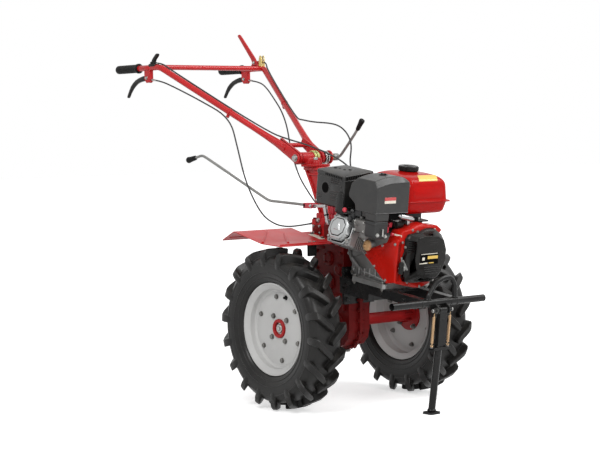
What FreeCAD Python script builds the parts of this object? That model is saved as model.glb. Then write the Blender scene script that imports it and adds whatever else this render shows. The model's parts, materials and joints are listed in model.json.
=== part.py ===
"""Two-wheel walk-behind tractor (garden tiller power unit), built as separate pieces.

All pieces are laid out with the wheel axle above x = 0 and the ground at z = 0:
+X forward, +Y to the operator's left, +Z up, millimetres. place() then shifts them so that
the origin is on the ground, midway between the grips' rear ends and the front of the stand.
"""
import FreeCAD, Part
import math
import os

os.makedirs("parts", exist_ok=True)
V = FreeCAD.Vector
X_AXIS, Y_AXIS, Z_AXIS = V(1, 0, 0), V(0, 1, 0), V(0, 0, 1)

# ---- driving dimensions -------------------------------------------------------------------
SEAT = 0.3                 # gap between pieces that only lie against each other
RUNNING = 0.08             # radial clearance of a shaft that turns in its bore
FREE = 6.0                 # gap between pieces that move past each other

# wheels
TYRE_R = 298.0             # over the lugs
TYRE_W = 146.0             # over the lugs
TRACK = 622.0              # between the two tyres' centre planes
LUG_H = 25.0
LUG_COUNT = 18             # on each half of a tyre
LUG_W = 26.0
LUG_SWEEP = 62.0           # how far a lug's outer end trails its inner end
TYRE_SIDES = 36            # the carcass is faceted to keep its mesh light
RIM_R = 171.0              # over the rim flange
RIM_SEAT_R = 152.4
RIM_W = 99.0
RIM_WALL = 4.5
DISC_OFFSET = 11.0         # of the disc's middle, outwards from the tyre's centre plane
DISC_T = 5.0
DISC_FLAT_R = 136.0
HUB_COLLAR_R = 35.0
HUB_COLLAR_PROUD = 7.0
HUB_COLLAR_WALL = 12.0
HUB_RECESS = 12.0
HUB_FLANGE_R = 61.0
HUB_FLANGE_T = 8.0
HUB_TUBE_R = 22.0
AXLE_R = 16.0
AXLE_INSERT = 40.0         # length of each half axle inside the gearbox

# gearbox and clutch
GEARBOX_HALF_W = 50.0
GEARBOX_LOWER_HALF_L = 72.0
GEARBOX_BOTTOM_Z = 203.0
GEARBOX_STEP_Z = 390.0
GEARBOX_UPPER_HALF_W = 64.0
GEARBOX_REAR_X = -110.0
GEARBOX_FRONT_X = 62.0
GEARBOX_TOP_Z = 594.0
GEARBOX_FRONT_TOP_Z = 676.0
SPLIT_FLANGE_T = 14.0
SPLIT_FLANGE_PROUD = 13.0
AXLE_BOSS_R = 34.0
AXLE_BOSS_L = 10.0
COVER_TOP_Z = 684.0
COVER_HALF_W = 58.0
COVER_REAR_X = -136.0
COVER_FRONT_X = -52.0
CLUTCH_R = 104.0
CLUTCH_NECK_R = 70.0
CLUTCH_RIM_T = 12.0
HITCH_REACH = 78.0
HITCH_WALL = 12.0
HITCH_HALF_W = 32.0
HITCH_Z = (296.0, 384.0)
HITCH_BORE_R = 10.0
HITCH_BORE_IN = 26.0       # of the bore's axis, from the ears' rear edge

# engine and rails, built level and then pitched nose-down about one point
PITCH = 7.5                # degrees, as the machine rests on its front stand
PITCH_X, PITCH_Z = 305.0, 447.0
CRANK_Y = 24.0
CRANK_Z = 572.0
ENGINE_REAR_X = 109.0
ENGINE_BASE_Z = 446.0
BASE_FLANGE_T = 17.0
BASE_X = (132.0, 316.7)
BASE_HALF_W = 116.0
CRANKCASE_FRONT_X = 317.0
CRANKCASE_HALF_W = 95.0
CRANKCASE_TOP_Z = 655.0
CYLINDER_X = 152.0
CYLINDER_TILT = 21.0       # above the horizontal, degrees
CYLINDER_FOOT = 108.0      # from the crank axis, along the cylinder
FIN_COUNT = 7
FIN_T = 3.0
FIN_PITCH = 9.5
FIN_HALF_X = 62.0
FIN_HALF_V = 56.0
HEAD_L = 28.0
HEAD_HALF_X = 62.0
HEAD_HALF_V = 56.0
ROCKER_L = 30.0
ROCKER_LIP_T = 8.0
ROCKER_HALF_X = 62.0
ROCKER_HALF_V = 56.0
SHROUD_R = 118.0
SHROUD_FRONT_X = 378.0
SHROUD_SIDE_Y = (-97.0, -71.3)
RECOIL_FRONT_X = 421.0
RECOIL_R = 104.0
RECOIL_FACE_R = 80.0
RECOIL_Z = 576.0
RECOIL_SKIRT = 18.0        # depth of the straight part behind the facets
HANDLE_Z = (515.0, 560.0)
HANDLE_R = 8.0

MUFFLER_BOX = ((4.0, 165.0), (-185.0, -42.0), (717.0, 850.0))
MUFFLER_WALL = 4.0
MUFFLER_HOLE_R = 19.0
MUFFLER_HOLE_X = 61.0
MUFFLER_HOLE_Z = 784.0
EXHAUST_R = 17.0
EXHAUST_X, EXHAUST_Y = 112.0, -112.0
AIR_Y = (-185.0, -31.0)
AIR_FRONT_X = 349.0
AIR_BOTTOM_Z = 700.0
AIR_TOP_Z = 848.0
AIR_CROWN_H = 17.0
ELBOW_BOX = ((290.0, 349.0), (-183.0, -121.0), (637.0, 700.0))
CARB_R = 21.0
CARB_Y, CARB_Z = -150.0, 668.0
TANK_BOX = ((95.0, 325.0), (-22.0, 195.0), (713.0, 857.0))
TANK_SEAM_H = 48.0         # over the tank's bottom
TANK_SHOULDER_H = 63.0     # over the seam
TANK_SEAM_Z = TANK_BOX[2][0] + TANK_SEAM_H
TANK_SHOULDER_Z = TANK_SEAM_Z + TANK_SHOULDER_H
TANK_CORNER_R = 30.0
TANK_LIP = 8.0
TANK_BRACKET_X = (125.0, 265.0)
TANK_BRACKET_L = 26.0
CAP_R = 38.0
CAP_H = 21.0
CAP_X, CAP_Y = 208.0, 85.0

# front frame, bumper and stand
RAIL_Y = 70.0
RAIL_W = 30.0
RAIL_H = 34.0
RAIL_REAR_X = 72.0
RAIL_TIE_X = (210.0, 340.0)
RAIL_PLATE_T = 12.0        # of the upright plate that bolts to the gearbox's front
RAIL_PLATE_HALF_W = 74.0
RAIL_PLATE_Z = (372.0, 512.0)
BUMPER_X, BUMPER_Z = 505.0, 404.0
BUMPER_R = 13.0
BUMPER_WALL = 2.5
BUMPER_HALF_L = 223.0
GUARD_R = 9.0
STAND_PIVOT_X, STAND_PIVOT_Z = 524.0, 378.0
STAND_PIN_R = 6.0
STAND_EAR_Y = 23.0
STAND_EAR_T = 5.0
STAND_LEG_W = 34.0
STAND_LEG_T = 18.0
STAND_KNEE_X, STAND_KNEE_Z = 507.0, 240.0
STAND_FOOT_X = 461.0
STAND_TUBE_R = 13.0
STAND_FOOT_T = 8.0
STAND_FOOT_HALF = 24.0
STAND_PLATE_HALF_W = 40.0
STAND_PLATE_T = 9.0
SPRING_R = 5.5
SPRING_Y = 33.0

# fenders
FENDER_T = 3.0
FENDER_OUT_Y = 385.0
FENDER_IN_Y = 112.0
FENDER_RIDGE_X = -190.0
FENDER_REAR_X = -262.0
FENDER_FOLD_X = -20.0
FENDER_FRONT_X = 92.0
FENDER_RIDGE_LIFT = 56.0   # of each bend over the tyre's top
FENDER_REAR_LIFT = 21.0
FENDER_FOLD_LIFT = 17.0
FENDER_FRONT_LIFT = 11.0

# handlebar
PIVOT_X, PIVOT_Z = -213.0, 917.0
PIVOT_R = 9.0
BARREL_R = 22.0
BARREL_HALF_L = 44.0
YOKE_Y = 50.0
YOKE_T = 10.0
YOKE_R = 25.0
YOKE_L = 125.0
BAR_R = 12.0
BAR_WALL = 2.5
BAR_BEND_X, BAR_BEND_Y, BAR_BEND_Z = -835.0, 265.0, 1289.0
BAR_NECK_X, BAR_NECK_Y, BAR_NECK_Z = -235.0, 48.0, 930.0
BAR_END_X = -1136.0
GRIP_REAR_X = -1148.0
GRIP_FRONT_X = -985.0
GRIP_R = 17.5
BRACKET_RIGHT_X = -918.0
BRACKET_LEFT_X = -964.0
CROSSBAR_R = 10.5
PIVOT_END_Y = 74.0         # right end of the pivot shaft
CLAMP_Y = 134.0
LOCK_DISC_R = 27.0
LOCK_DISC_T = 6.0
LOCK_DISC_Y = (68.0, 82.0, 96.0)
CABLE_R = 3.0
CABLE_STEP = 72.0          # from one point of a hanging cable's route to the next
TURNTABLE_R = 54.0
TURNTABLE_Z = 883.0
TURNTABLE_T = 9.0
COLUMN_HALF_W = 30.0
LEVER_ROD_R = 5.5
CLUTCH_LEVER_X = -898.0
CLUTCH_LEVER_BACK = 114.0  # how far its tip stands behind its foot
CLUTCH_LEVER_RISE = 152.0
CLUTCH_LEVER_T = 10.0
CLUTCH_LATCH_X = -858.0
CLUTCH_LATCH_H = 56.0
CLUTCH_LATCH_L = 20.0
THROTTLE_X = -902.0
THROTTLE_BASE_L = 46.0
THROTTLE_BASE_H = 24.0
THROTTLE_RISE = 47.0

FRONT_X = STAND_PIVOT_X + STAND_LEG_T / 2 + 4.0   # the foremost point, the stand ears' edge
AXLE_X = -(GRIP_REAR_X + FRONT_X) / 2             # the axle, from the finished part's origin
WHEEL_Y = TRACK / 2


# ---- helpers --------------------------------------------------------------------------------
def block(x, y, z):
    """Box between two limits on each axis."""
    return Part.makeBox(x[1] - x[0], y[1] - y[0], z[1] - z[0], V(x[0], y[0], z[0]))


def rod(start, end, radius):
    start, end = V(*start), V(*end)
    return Part.makeCylinder(radius, (end - start).Length, start, end - start)


def tube(start, end, radius, wall):
    return rod(start, end, radius).cut(rod(start, end, radius - wall))


def cone(start, end, start_r, end_r):
    start, end = V(*start), V(*end)
    return Part.makeCone(start_r, end_r, (end - start).Length, start, end - start)


def prism(points, travel):
    """Closed polygon moved along a vector."""
    corners = [V(*p) for p in points]
    face = Part.Face(Part.makePolygon(corners + corners[:1]))
    return face.extrude(V(*travel))


def xz_plate(points, y):
    return prism([(px, y[0], pz) for px, pz in points], (0, y[1] - y[0], 0))


def yz_plate(points, x):
    return prism([(x[0], py, pz) for py, pz in points], (x[1] - x[0], 0, 0))


def xy_plate(points, z):
    return prism([(px, py, z[0]) for px, py in points], (0, 0, z[1] - z[0]))


def regular(count, flat_r, centre=(0.0, 0.0), first=0.0):
    """Corners of a regular polygon with the given inner radius."""
    reach = flat_r / math.cos(math.pi / count)
    angles = [first + 2 * math.pi * (i + 0.5) / count for i in range(count)]
    return [(centre[0] + reach * math.cos(a), centre[1] + reach * math.sin(a)) for a in angles]


def spun(profile):
    """Profile of (radius, y) points turned about the Y axis."""
    corners = [V(r, y, 0) for r, y in profile]
    face = Part.Face(Part.makePolygon(corners + corners[:1]))
    return face.revolve(V(0, 0, 0), Y_AXIS, 360)


def fuse(*shapes):
    return shapes[0].multiFuse(list(shapes[1:])).removeSplitter()


def cut(shape, *tools):
    for tool in tools:
        shape = shape.cut(tool)
    return shape


def rounded(shape, radius, wanted):
    """Fillet the edges for which wanted(edge) is true."""
    edges = [edge for edge in shape.Edges if wanted(edge)]
    return shape.makeFillet(radius, edges)


def along(axis):
    """Test for straight edges that run along an axis."""
    def test(edge):
        ends = edge.Vertexes
        if len(ends) < 2:
            return False
        run = ends[1].Point - ends[0].Point
        return run.Length > 1 and abs(abs(run.normalize().dot(axis)) - 1) < 1e-6
    return test


def moved(shape, x=0.0, y=0.0, z=0.0):
    copy = shape.copy()
    copy.translate(V(x, y, z))
    return copy


def mirrored(shape):
    """The same piece on the other side."""
    return shape.mirror(V(0, 0, 0), Y_AXIS)


def bent(points, radius, bend_r=None, wall=0.0):
    """Round bar or tube along straight runs joined by tangent arcs; prints radii and volume."""
    corners = [V(*p) for p in points]
    edges = []
    last = corners[0]
    radii = []
    for before, here, after in zip(corners, corners[1:], corners[2:]):
        go = (here - before).normalize()
        leave = (after - here).normalize()
        turn = math.acos(max(-1.0, min(1.0, go.dot(leave))))
        shorter = min((here - before).Length, (after - here).Length)
        largest = 0.45 * shorter / math.tan(turn / 2)
        arc_r = min(bend_r, largest) if bend_r else largest
        reach = arc_r * math.tan(turn / 2)
        begin, finish = here - go * reach, here + leave * reach
        inward = (leave - go).normalize()
        middle = here + inward * (arc_r / math.cos(turn / 2) - arc_r)
        edges.append(Part.LineSegment(last, begin).toShape())
        edges.append(Part.Arc(begin, middle, finish).toShape())
        last = finish
        radii.append(arc_r)
    edges.append(Part.LineSegment(last, corners[-1]).toShape())
    path = Part.Wire(edges)
    start = (corners[1] - corners[0]).normalize()

    def sweep(section_r):
        ring = Part.Wire([Part.makeCircle(section_r, corners[0], start)])
        return path.makePipeShell([ring], True, False)

    solid = sweep(radius)
    expected = math.pi * radius * radius * path.Length
    print("  bend radii", [round(r) for r in radii], "length", round(path.Length),
          "volume / section x length %.4f" % (solid.Volume / expected))
    if wall:
        solid = solid.cut(sweep(radius - wall))
    return solid


PIECES = {}


def place(name, shape):
    """Shift a finished piece to the part's origin, check it and keep it for export."""
    shape = moved(shape, x=AXLE_X)
    solids = shape.Solids
    if not solids or not shape.isValid():
        raise ValueError(name + " is not a sound solid")
    PIECES[name] = solids[0] if len(solids) == 1 else Part.makeCompound(solids)


# ---- wheels -----------------------------------------------------------------------------------
def faceted_ring(profile, sides):
    """Ring of flat faces about the Y axis through a closed profile of (radius, y) points."""
    turns = [2 * math.pi * i / sides for i in range(sides + 1)]
    faces = []
    for (r0, y0), (r1, y1) in zip(profile, profile[1:] + profile[:1]):
        for a, b in zip(turns, turns[1:]):
            corners = [V(r0 * math.sin(a), y0, r0 * math.cos(a)),
                       V(r1 * math.sin(a), y1, r1 * math.cos(a)),
                       V(r1 * math.sin(b), y1, r1 * math.cos(b)),
                       V(r0 * math.sin(b), y0, r0 * math.cos(b))]
            faces.append(Part.Face(Part.makePolygon(corners + corners[:1])))
    shell = Part.makeShell(faces)
    shell.sewShape()
    solid = Part.makeSolid(shell)
    if solid.Volume < 0:
        solid.reverse()
    return solid


def tyre_lug():
    """One straight lug at the tyre's top, from the middle plane out over the left shoulder."""
    half = TYRE_W / 2
    crown_r = TYRE_R - LUG_H
    slope = LUG_SWEEP / half
    norm = math.hypot(1, slope)
    spread = LUG_W / 2 * norm

    def at(y, radius):
        x = LUG_SWEEP / 2 - slope * y
        return V(x, y, math.sqrt(radius ** 2 - (abs(x) + spread) ** 2))

    far = half + 14
    corners = [at(-8, crown_r - 9), at(-8, TYRE_R), at(half - 20, TYRE_R), at(far, TYRE_R - 18),
               at(far, crown_r - 28), at(half - 12, crown_r - 34)]
    across = V(1, slope, 0).normalize() * LUG_W
    face = Part.Face(Part.makePolygon(corners + corners[:1]))
    bar = face.extrude(across)
    bar.translate(across * -0.5)
    return bar.common(block((-200, 200), (-3, half), (0, TYRE_R)))


def tyre():
    """Tyre about the Y axis, centred on its own middle plane, with its chevron lugs."""
    half = TYRE_W / 2
    bore_r = (RIM_SEAT_R + SEAT) / math.cos(math.pi / TYRE_SIDES)
    bead_y = RIM_W / 2 - RIM_WALL - 2 * SEAT
    crown_r = TYRE_R - LUG_H
    side_y = half - 3.5
    outline = [(bore_r, bead_y - 9), (RIM_SEAT_R + 3, bead_y - 6), (RIM_R + 1, bead_y),
               (RIM_R + 16, side_y - 7),
               (RIM_R + 45, side_y), (crown_r - 22, side_y - 2), (crown_r - 6, side_y - 18)]
    carcass = faceted_ring(outline + [(r, -y) for r, y in reversed(outline)], TYRE_SIDES)
    lug = tyre_lug()
    lugs = []
    for i in range(LUG_COUNT):
        left = lug.copy()
        left.rotate(V(0, 0, 0), Y_AXIS, 360.0 * i / LUG_COUNT)
        right = mirrored(lug)
        right.rotate(V(0, 0, 0), Y_AXIS, 360.0 * (i + 0.5) / LUG_COUNT)
        lugs += [left, right]
    return carcass.multiFuse(lugs)


def wheel_disc():
    """Rim and disc in one; +Y is outboard. The disc has the hub's hole and the valve's hole."""
    half = RIM_W / 2
    well = RIM_SEAT_R - RIM_WALL
    near, far = DISC_OFFSET - DISC_T / 2, DISC_OFFSET + DISC_T / 2
    hole = HUB_COLLAR_R + SEAT
    profile = [(hole, near), (hole, far), (DISC_FLAT_R, far), (well - 3, far + 7),
               (well, half - 13), (RIM_R - RIM_WALL, half), (RIM_R, half),
               (RIM_R, half - RIM_WALL), (RIM_SEAT_R + 2, half - RIM_WALL - 6),
               (RIM_SEAT_R, half - RIM_WALL - 9),
               (RIM_SEAT_R, -half + RIM_WALL + 9), (RIM_SEAT_R + 2, -half + RIM_WALL + 6),
               (RIM_R, -half + RIM_WALL), (RIM_R, -half), (RIM_R - RIM_WALL, -half),
               (well, -half + 13), (well, near - 9), (DISC_FLAT_R, near)]
    disc = spun(profile)
    valve = rod((42, 0, 116), (42, DISC_OFFSET + 20, 116), 7)
    return disc.cut(valve)


def wheel_hub():
    """Hub flange and collar on the tube and half axle that run into the gearbox."""
    disc_near = DISC_OFFSET - DISC_T / 2
    flange_near = disc_near - HUB_FLANGE_T
    collar_end = DISC_OFFSET + DISC_T / 2 + HUB_COLLAR_PROUD
    tube_end = GEARBOX_HALF_W + AXLE_BOSS_L + FREE - WHEEL_Y
    inner_end = GEARBOX_HALF_W + AXLE_BOSS_L - AXLE_INSERT - WHEEL_Y
    sleeve = rod((0, tube_end, 0), (0, flange_near, 0), HUB_TUBE_R)
    flange = rod((0, flange_near, 0), (0, disc_near, 0), HUB_FLANGE_R)
    collar = rod((0, disc_near, 0), (0, collar_end, 0), HUB_COLLAR_R)
    recess = tube((0, collar_end - HUB_RECESS, 0), (0, collar_end + 1, 0),
                  HUB_COLLAR_R - HUB_COLLAR_WALL, HUB_COLLAR_R - HUB_COLLAR_WALL - AXLE_R)
    axle = rod((0, inner_end, 0), (0, collar_end - 3, 0), AXLE_R)
    return fuse(fuse(sleeve, flange, collar).cut(recess), axle)


def wheels():
    for name, shape in (("tyre", tyre()), ("wheel_disc", wheel_disc()), ("wheel_hub", wheel_hub())):
        left = moved(shape, y=WHEEL_Y, z=TYRE_R)
        place(name + "_left", left)
        place(name + "_right", mirrored(left))


# ---- gearbox --------------------------------------------------------------------------------
def gearbox_outline(grow):
    low_r = GEARBOX_LOWER_HALF_L + grow
    low_z = GEARBOX_BOTTOM_Z + GEARBOX_LOWER_HALF_L
    arc = [(low_r * math.cos(math.radians(a)), low_z + low_r * math.sin(math.radians(a)))
           for a in range(-180, 1, 30)]
    return arc


def gearbox_case():
    low = GEARBOX_HALF_W
    high = GEARBOX_UPPER_HALF_W
    leg_top = GEARBOX_STEP_Z
    arc = gearbox_outline(0)
    leg = xz_plate(arc + [(GEARBOX_LOWER_HALF_L, leg_top), (-GEARBOX_LOWER_HALF_L, leg_top)],
                   (-low, low))
    step_x = COVER_FRONT_X + 3 * SEAT
    body = xz_plate([(GEARBOX_REAR_X, leg_top), (GEARBOX_FRONT_X, leg_top),
                     (GEARBOX_FRONT_X, GEARBOX_FRONT_TOP_Z), (step_x, GEARBOX_FRONT_TOP_Z),
                     (step_x, GEARBOX_TOP_Z), (GEARBOX_REAR_X, GEARBOX_TOP_Z)], (-high, high))
    body = rounded(body, 14, along(X_AXIS))
    proud = SPLIT_FLANGE_PROUD
    flange_arc = gearbox_outline(proud)
    flange = xz_plate(flange_arc + [(GEARBOX_LOWER_HALF_L + proud, leg_top + 20),
                                    (-GEARBOX_LOWER_HALF_L - proud, leg_top + 20)],
                      (-SPLIT_FLANGE_T / 2, SPLIT_FLANGE_T / 2))
    boss_end = GEARBOX_HALF_W + AXLE_BOSS_L
    boss = rod((0, -boss_end, TYRE_R), (0, boss_end, TYRE_R), AXLE_BOSS_R)
    case = fuse(leg, body, flange, boss)
    bore_r = AXLE_R + RUNNING
    depth = AXLE_INSERT + 1
    for side in (-1, 1):
        case = case.cut(rod((0, side * (boss_end + 1), TYRE_R),
                            (0, side * (boss_end - depth), TYRE_R), bore_r))
    return case


def shift_cover():
    """Casting on the gearbox's top that holds the selector shafts."""
    cover = block((COVER_REAR_X, COVER_FRONT_X), (-COVER_HALF_W, COVER_HALF_W),
                  (GEARBOX_TOP_Z, COVER_TOP_Z))
    return rounded(cover, 10, along(Z_AXIS))


def pitched(shape):
    """Tilt a piece that was built level together with the engine."""
    copy = shape.copy()
    copy.rotate(V(PITCH_X, 0, PITCH_Z), Y_AXIS, PITCH)
    return copy


def clutch_bell():
    """Bell on the crank's axis behind the engine, level and longer than it is in the end."""
    centre = (CRANK_Y, CRANK_Z)
    depth = ENGINE_REAR_X - GEARBOX_FRONT_X
    bell = cone((ENGINE_REAR_X - 2 * depth, *centre), (ENGINE_REAR_X, *centre),
                2 * CLUTCH_NECK_R - CLUTCH_R, CLUTCH_R)
    rim = rod((ENGINE_REAR_X - CLUTCH_RIM_T, *centre), (ENGINE_REAR_X, *centre), CLUTCH_R + 6)
    return fuse(bell, rim)


def clutch_housing():
    """The bell between the gearbox's front and the engine's output face."""
    behind = block((-400, GEARBOX_FRONT_X), (-300, 300), (0, 1000))
    return pitched(clutch_bell()).cut(behind)


def rear_hitch():
    """Clevis on the gearbox's back with an upright bore for an implement's pin."""
    front = -GEARBOX_LOWER_HALF_L - SPLIT_FLANGE_PROUD
    rear = front - HITCH_REACH
    low, high = HITCH_Z
    spine = block((front - HITCH_WALL, front), (-HITCH_HALF_W, HITCH_HALF_W), (low, high))
    ears = [block((rear, front), (-HITCH_HALF_W, HITCH_HALF_W), z)
            for z in ((low, low + HITCH_WALL), (high - HITCH_WALL, high))]
    clevis = fuse(spine, *ears)
    clevis = rounded(clevis, 12, lambda e: along(Z_AXIS)(e) and e.CenterOfMass.x < rear + 1)
    bore_x = rear + HITCH_BORE_IN
    return clevis.cut(rod((bore_x, 0, low - 1), (bore_x, 0, high + 1), HITCH_BORE_R))


def gearbox():
    place("gearbox_case", gearbox_case())
    place("shift_cover", shift_cover())
    place("clutch_housing", clutch_housing())
    place("rear_hitch", rear_hitch())


# ---- engine -----------------------------------------------------------------------------------
def on_cylinder(shape):
    """Turn a shape built about +Z from the crank axis so that +Z runs up the cylinder."""
    shape = shape.copy()
    shape.rotate(V(0, 0, 0), X_AXIS, 90.0 - CYLINDER_TILT)
    return moved(shape, CYLINDER_X, CRANK_Y, CRANK_Z)


def crankcase():
    case = block((ENGINE_REAR_X, CRANKCASE_FRONT_X),
                 (CRANK_Y - CRANKCASE_HALF_W, CRANK_Y + CRANKCASE_HALF_W),
                 (ENGINE_BASE_Z + BASE_FLANGE_T, CRANKCASE_TOP_Z))
    case = rounded(case, 22, lambda e: along(X_AXIS)(e) and e.CenterOfMass.z > CRANK_Z)
    foot = block(BASE_X, (CRANK_Y - BASE_HALF_W, CRANK_Y + BASE_HALF_W),
                 (ENGINE_BASE_Z, ENGINE_BASE_Z + BASE_FLANGE_T))
    foot = rounded(foot, 15, along(Z_AXIS))
    seat = on_cylinder(block((-FIN_HALF_X - 1, FIN_HALF_X + 1),
                             (-FIN_HALF_V - 1, FIN_HALF_V + 1), (CYLINDER_FOOT, 400)))
    return fuse(case, foot).cut(seat)


def cylinder():
    """Finned barrel and head, leaning out to the right of the crankcase."""
    core_top = CYLINDER_FOOT + FIN_COUNT * FIN_PITCH
    core = block((-FIN_HALF_X + 14, FIN_HALF_X - 14), (-FIN_HALF_V + 12, FIN_HALF_V - 12),
                 (CYLINDER_FOOT, core_top))
    fins = [block((-FIN_HALF_X, FIN_HALF_X), (-FIN_HALF_V, FIN_HALF_V),
                  (CYLINDER_FOOT + i * FIN_PITCH, CYLINDER_FOOT + i * FIN_PITCH + FIN_T))
            for i in range(FIN_COUNT)]
    head = block((-HEAD_HALF_X, HEAD_HALF_X), (-HEAD_HALF_V, HEAD_HALF_V),
                 (core_top, core_top + HEAD_L))
    head = rounded(head, 9, along(Z_AXIS))
    return on_cylinder(fuse(core, head, *fins))


def rocker_cover():
    foot = CYLINDER_FOOT + FIN_COUNT * FIN_PITCH + HEAD_L
    fx, fv = ROCKER_HALF_X, ROCKER_HALF_V
    nx, nv = 0.5 * fx, 0.45 * fv
    ring = [(fx, nv), (nx, fv), (-nx, fv), (-fx, nv), (-fx, -nv), (-nx, -fv), (nx, -fv), (fx, -nv)]
    lip = xy_plate(ring, (foot, foot + ROCKER_LIP_T))

    def at(scale, z):
        corners = [V(x * scale, y * scale, z) for x, y in ring]
        return Part.makePolygon(corners + corners[:1])

    shoulder = foot + ROCKER_L - 8
    dome = Part.makeLoft([at(0.86, foot + ROCKER_LIP_T), at(0.80, shoulder)], True, True)
    crown = Part.makeLoft([at(0.80, shoulder), at(0.62, foot + ROCKER_L)], True, True)
    return on_cylinder(fuse(lip, dome, crown))


def fan_shroud():
    """Red cover round the flywheel fan; its side reaches back to the cylinder."""
    back, front = CRANKCASE_FRONT_X, SHROUD_FRONT_X
    drum = rod((back, CRANK_Y, CRANK_Z), (front, CRANK_Y, CRANK_Z), SHROUD_R)
    side = [(187, 563), (312, 617), (front, 645), (front, 480), (328, 470), (240, 529)]
    cheek = xz_plate(side, SHROUD_SIDE_Y)
    near = SHROUD_SIDE_Y[0]
    shelf = yz_plate([(near, 478), (near, 620), (near + 24, 668), (CRANK_Y - 10, 683),
                      (CRANK_Y + 70, 683), (CRANK_Y + 96, 662), (CRANK_Y, CRANK_Z),
                      (CRANK_Y - 60, 462)], (back, front))
    return fuse(drum, cheek, shelf)


def recoil_starter():
    """Black faceted cover in front of the fan shroud."""
    back = SHROUD_FRONT_X
    knee = back + RECOIL_SKIRT

    def at(flat_r, x):
        corners = [V(x, y, z) for y, z in regular(8, flat_r, (CRANK_Y, RECOIL_Z))]
        return Part.makePolygon(corners + corners[:1])

    skirt = Part.makeLoft([at(RECOIL_R, back), at(RECOIL_R - 4, knee)], True, True)
    dome = Part.makeLoft([at(RECOIL_R - 4, knee), at(RECOIL_FACE_R, RECOIL_FRONT_X)], True, True)
    return fuse(skirt, dome)


def recoil_handle():
    x = SHROUD_FRONT_X + 14
    y = CRANK_Y - RECOIL_R - HANDLE_R - 4
    low, high = HANDLE_Z
    middle = (low + high) / 2
    grip = rod((x, y, low), (x, y, high), HANDLE_R)
    neck = rod((x, y, middle), (x, CRANK_Y - RECOIL_R + 4, middle), 5)
    return fuse(grip, neck)


def muffler():
    x, y, z = MUFFLER_BOX
    t = MUFFLER_WALL
    shell = rounded(block(x, y, z), 7, lambda e: True)
    shell = shell.cut(block((x[0] + t, x[1] - t), (y[0] + t, y[1] - t), (z[0] + t, z[1] - t)))
    hole = rod((MUFFLER_HOLE_X, y[0] - 1, MUFFLER_HOLE_Z), (MUFFLER_HOLE_X, y[0] + 2 * t, MUFFLER_HOLE_Z),
               MUFFLER_HOLE_R)
    return shell.cut(hole)


def exhaust_pipe(head):
    """Short pipe from the head up into the muffler's underside."""
    x, y = EXHAUST_X, EXHAUST_Y
    top = MUFFLER_BOX[2][0]
    pipe = rod((x, y, CRANK_Z + 40), (x, y, top), EXHAUST_R)
    flange = block((x - 32, x + 32), (y - 24, y + 24), (top - 8, top))
    return fuse(pipe, flange).cut(head)


def air_cleaner():
    """Box over the intake elbow: cut away behind and below, crowned on top."""
    front, low, top = AIR_FRONT_X, AIR_BOTTOM_Z, AIR_TOP_Z
    side = [(284, low), (front, low), (front, top - 26), (front - 17, top), (239, top),
            (205, top - 22), (194, top - 68), (234, top - 100)]
    shell = rounded(xz_plate(side, AIR_Y), 8, along(Y_AXIS))
    under = block((200, front + 1), (ELBOW_BOX[1][1], 0), (low - 1, low + 28))
    y0, y1 = AIR_Y

    def at(inset, z):
        corners = [V(250 + inset, y0 + 8 + inset, z), V(front - 19 - inset, y0 + 8 + inset, z),
                   V(front - 19 - inset, y1 - 8 - inset, z), V(250 + inset, y1 - 8 - inset, z)]
        return Part.makePolygon(corners + corners[:1])

    crown = Part.makeLoft([at(0, top), at(30, top + AIR_CROWN_H)], True, True)
    return fuse(shell.cut(under), crown)


def intake(head):
    """Elbow under the air cleaner and the carburettor between it and the head."""
    x, y, z = ELBOW_BOX
    elbow = rounded(block(x, y, z), 7, along(Z_AXIS))
    throat = rod((CYLINDER_X, CARB_Y, CARB_Z), (x[0] + 10, CARB_Y, CARB_Z), CARB_R)
    bowl = rod((x[0] - 32, CARB_Y, CARB_Z - 48), (x[0] - 32, CARB_Y, CARB_Z), CARB_R - 1)
    return fuse(elbow, throat, bowl).cut(head)


def fuel_tank():
    """Two pressed halves with a seam; the upper one slopes up to the filler."""
    x, y, z = TANK_BOX
    corner = TANK_CORNER_R
    lip_t = 2.0

    def at(inset, height, r=corner):
        x0, x1, y0, y1 = x[0] + inset, x[1] - inset, y[0] + inset, y[1] - inset
        c = r * (1 - math.sqrt(0.5))
        ring = [(x0 + r, y0), (x1 - r, y0), (x1 - c, y0 + c), (x1, y0 + r), (x1, y1 - r),
                (x1 - c, y1 - c), (x1 - r, y1), (x0 + r, y1), (x0 + c, y1 - c), (x0, y1 - r),
                (x0, y0 + r), (x0 + c, y0 + c)]
        corners = [V(px, py, height) for px, py in ring]
        return Part.makePolygon(corners + corners[:1])

    lower = Part.makeLoft([at(22, z[0]), at(8, z[0] + 12), at(0, TANK_SEAM_Z)], True, True)
    upper = Part.makeLoft([at(0, TANK_SEAM_Z), at(6, TANK_SHOULDER_Z)], True, True)
    crown = Part.makeLoft([at(6, TANK_SHOULDER_Z), at(24, z[1] - 14), at(58, z[1])], True, True)
    lip = Part.makeLoft([at(-TANK_LIP, TANK_SEAM_Z - lip_t), at(-TANK_LIP, TANK_SEAM_Z + lip_t)],
                        True, True)
    return fuse(lower, upper, crown, lip)


def tank_brackets():
    """Feet that carry the tank above the crankcase."""
    feet = []
    for x in TANK_BRACKET_X:
        feet.append(block((x, x + TANK_BRACKET_L), (CRANK_Y - 10, CRANK_Y + CRANKCASE_HALF_W - 30),
                          (CRANKCASE_TOP_Z, TANK_BOX[2][0])))
    return Part.makeCompound(feet)


def fuel_cap():
    top = TANK_BOX[2][1]
    cap = rod((CAP_X, CAP_Y, top), (CAP_X, CAP_Y, top + CAP_H), CAP_R)
    return cap.makeFillet(4, [e for e in cap.Edges if e.CenterOfMass.z > top + CAP_H - 1 and e.Closed])


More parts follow.
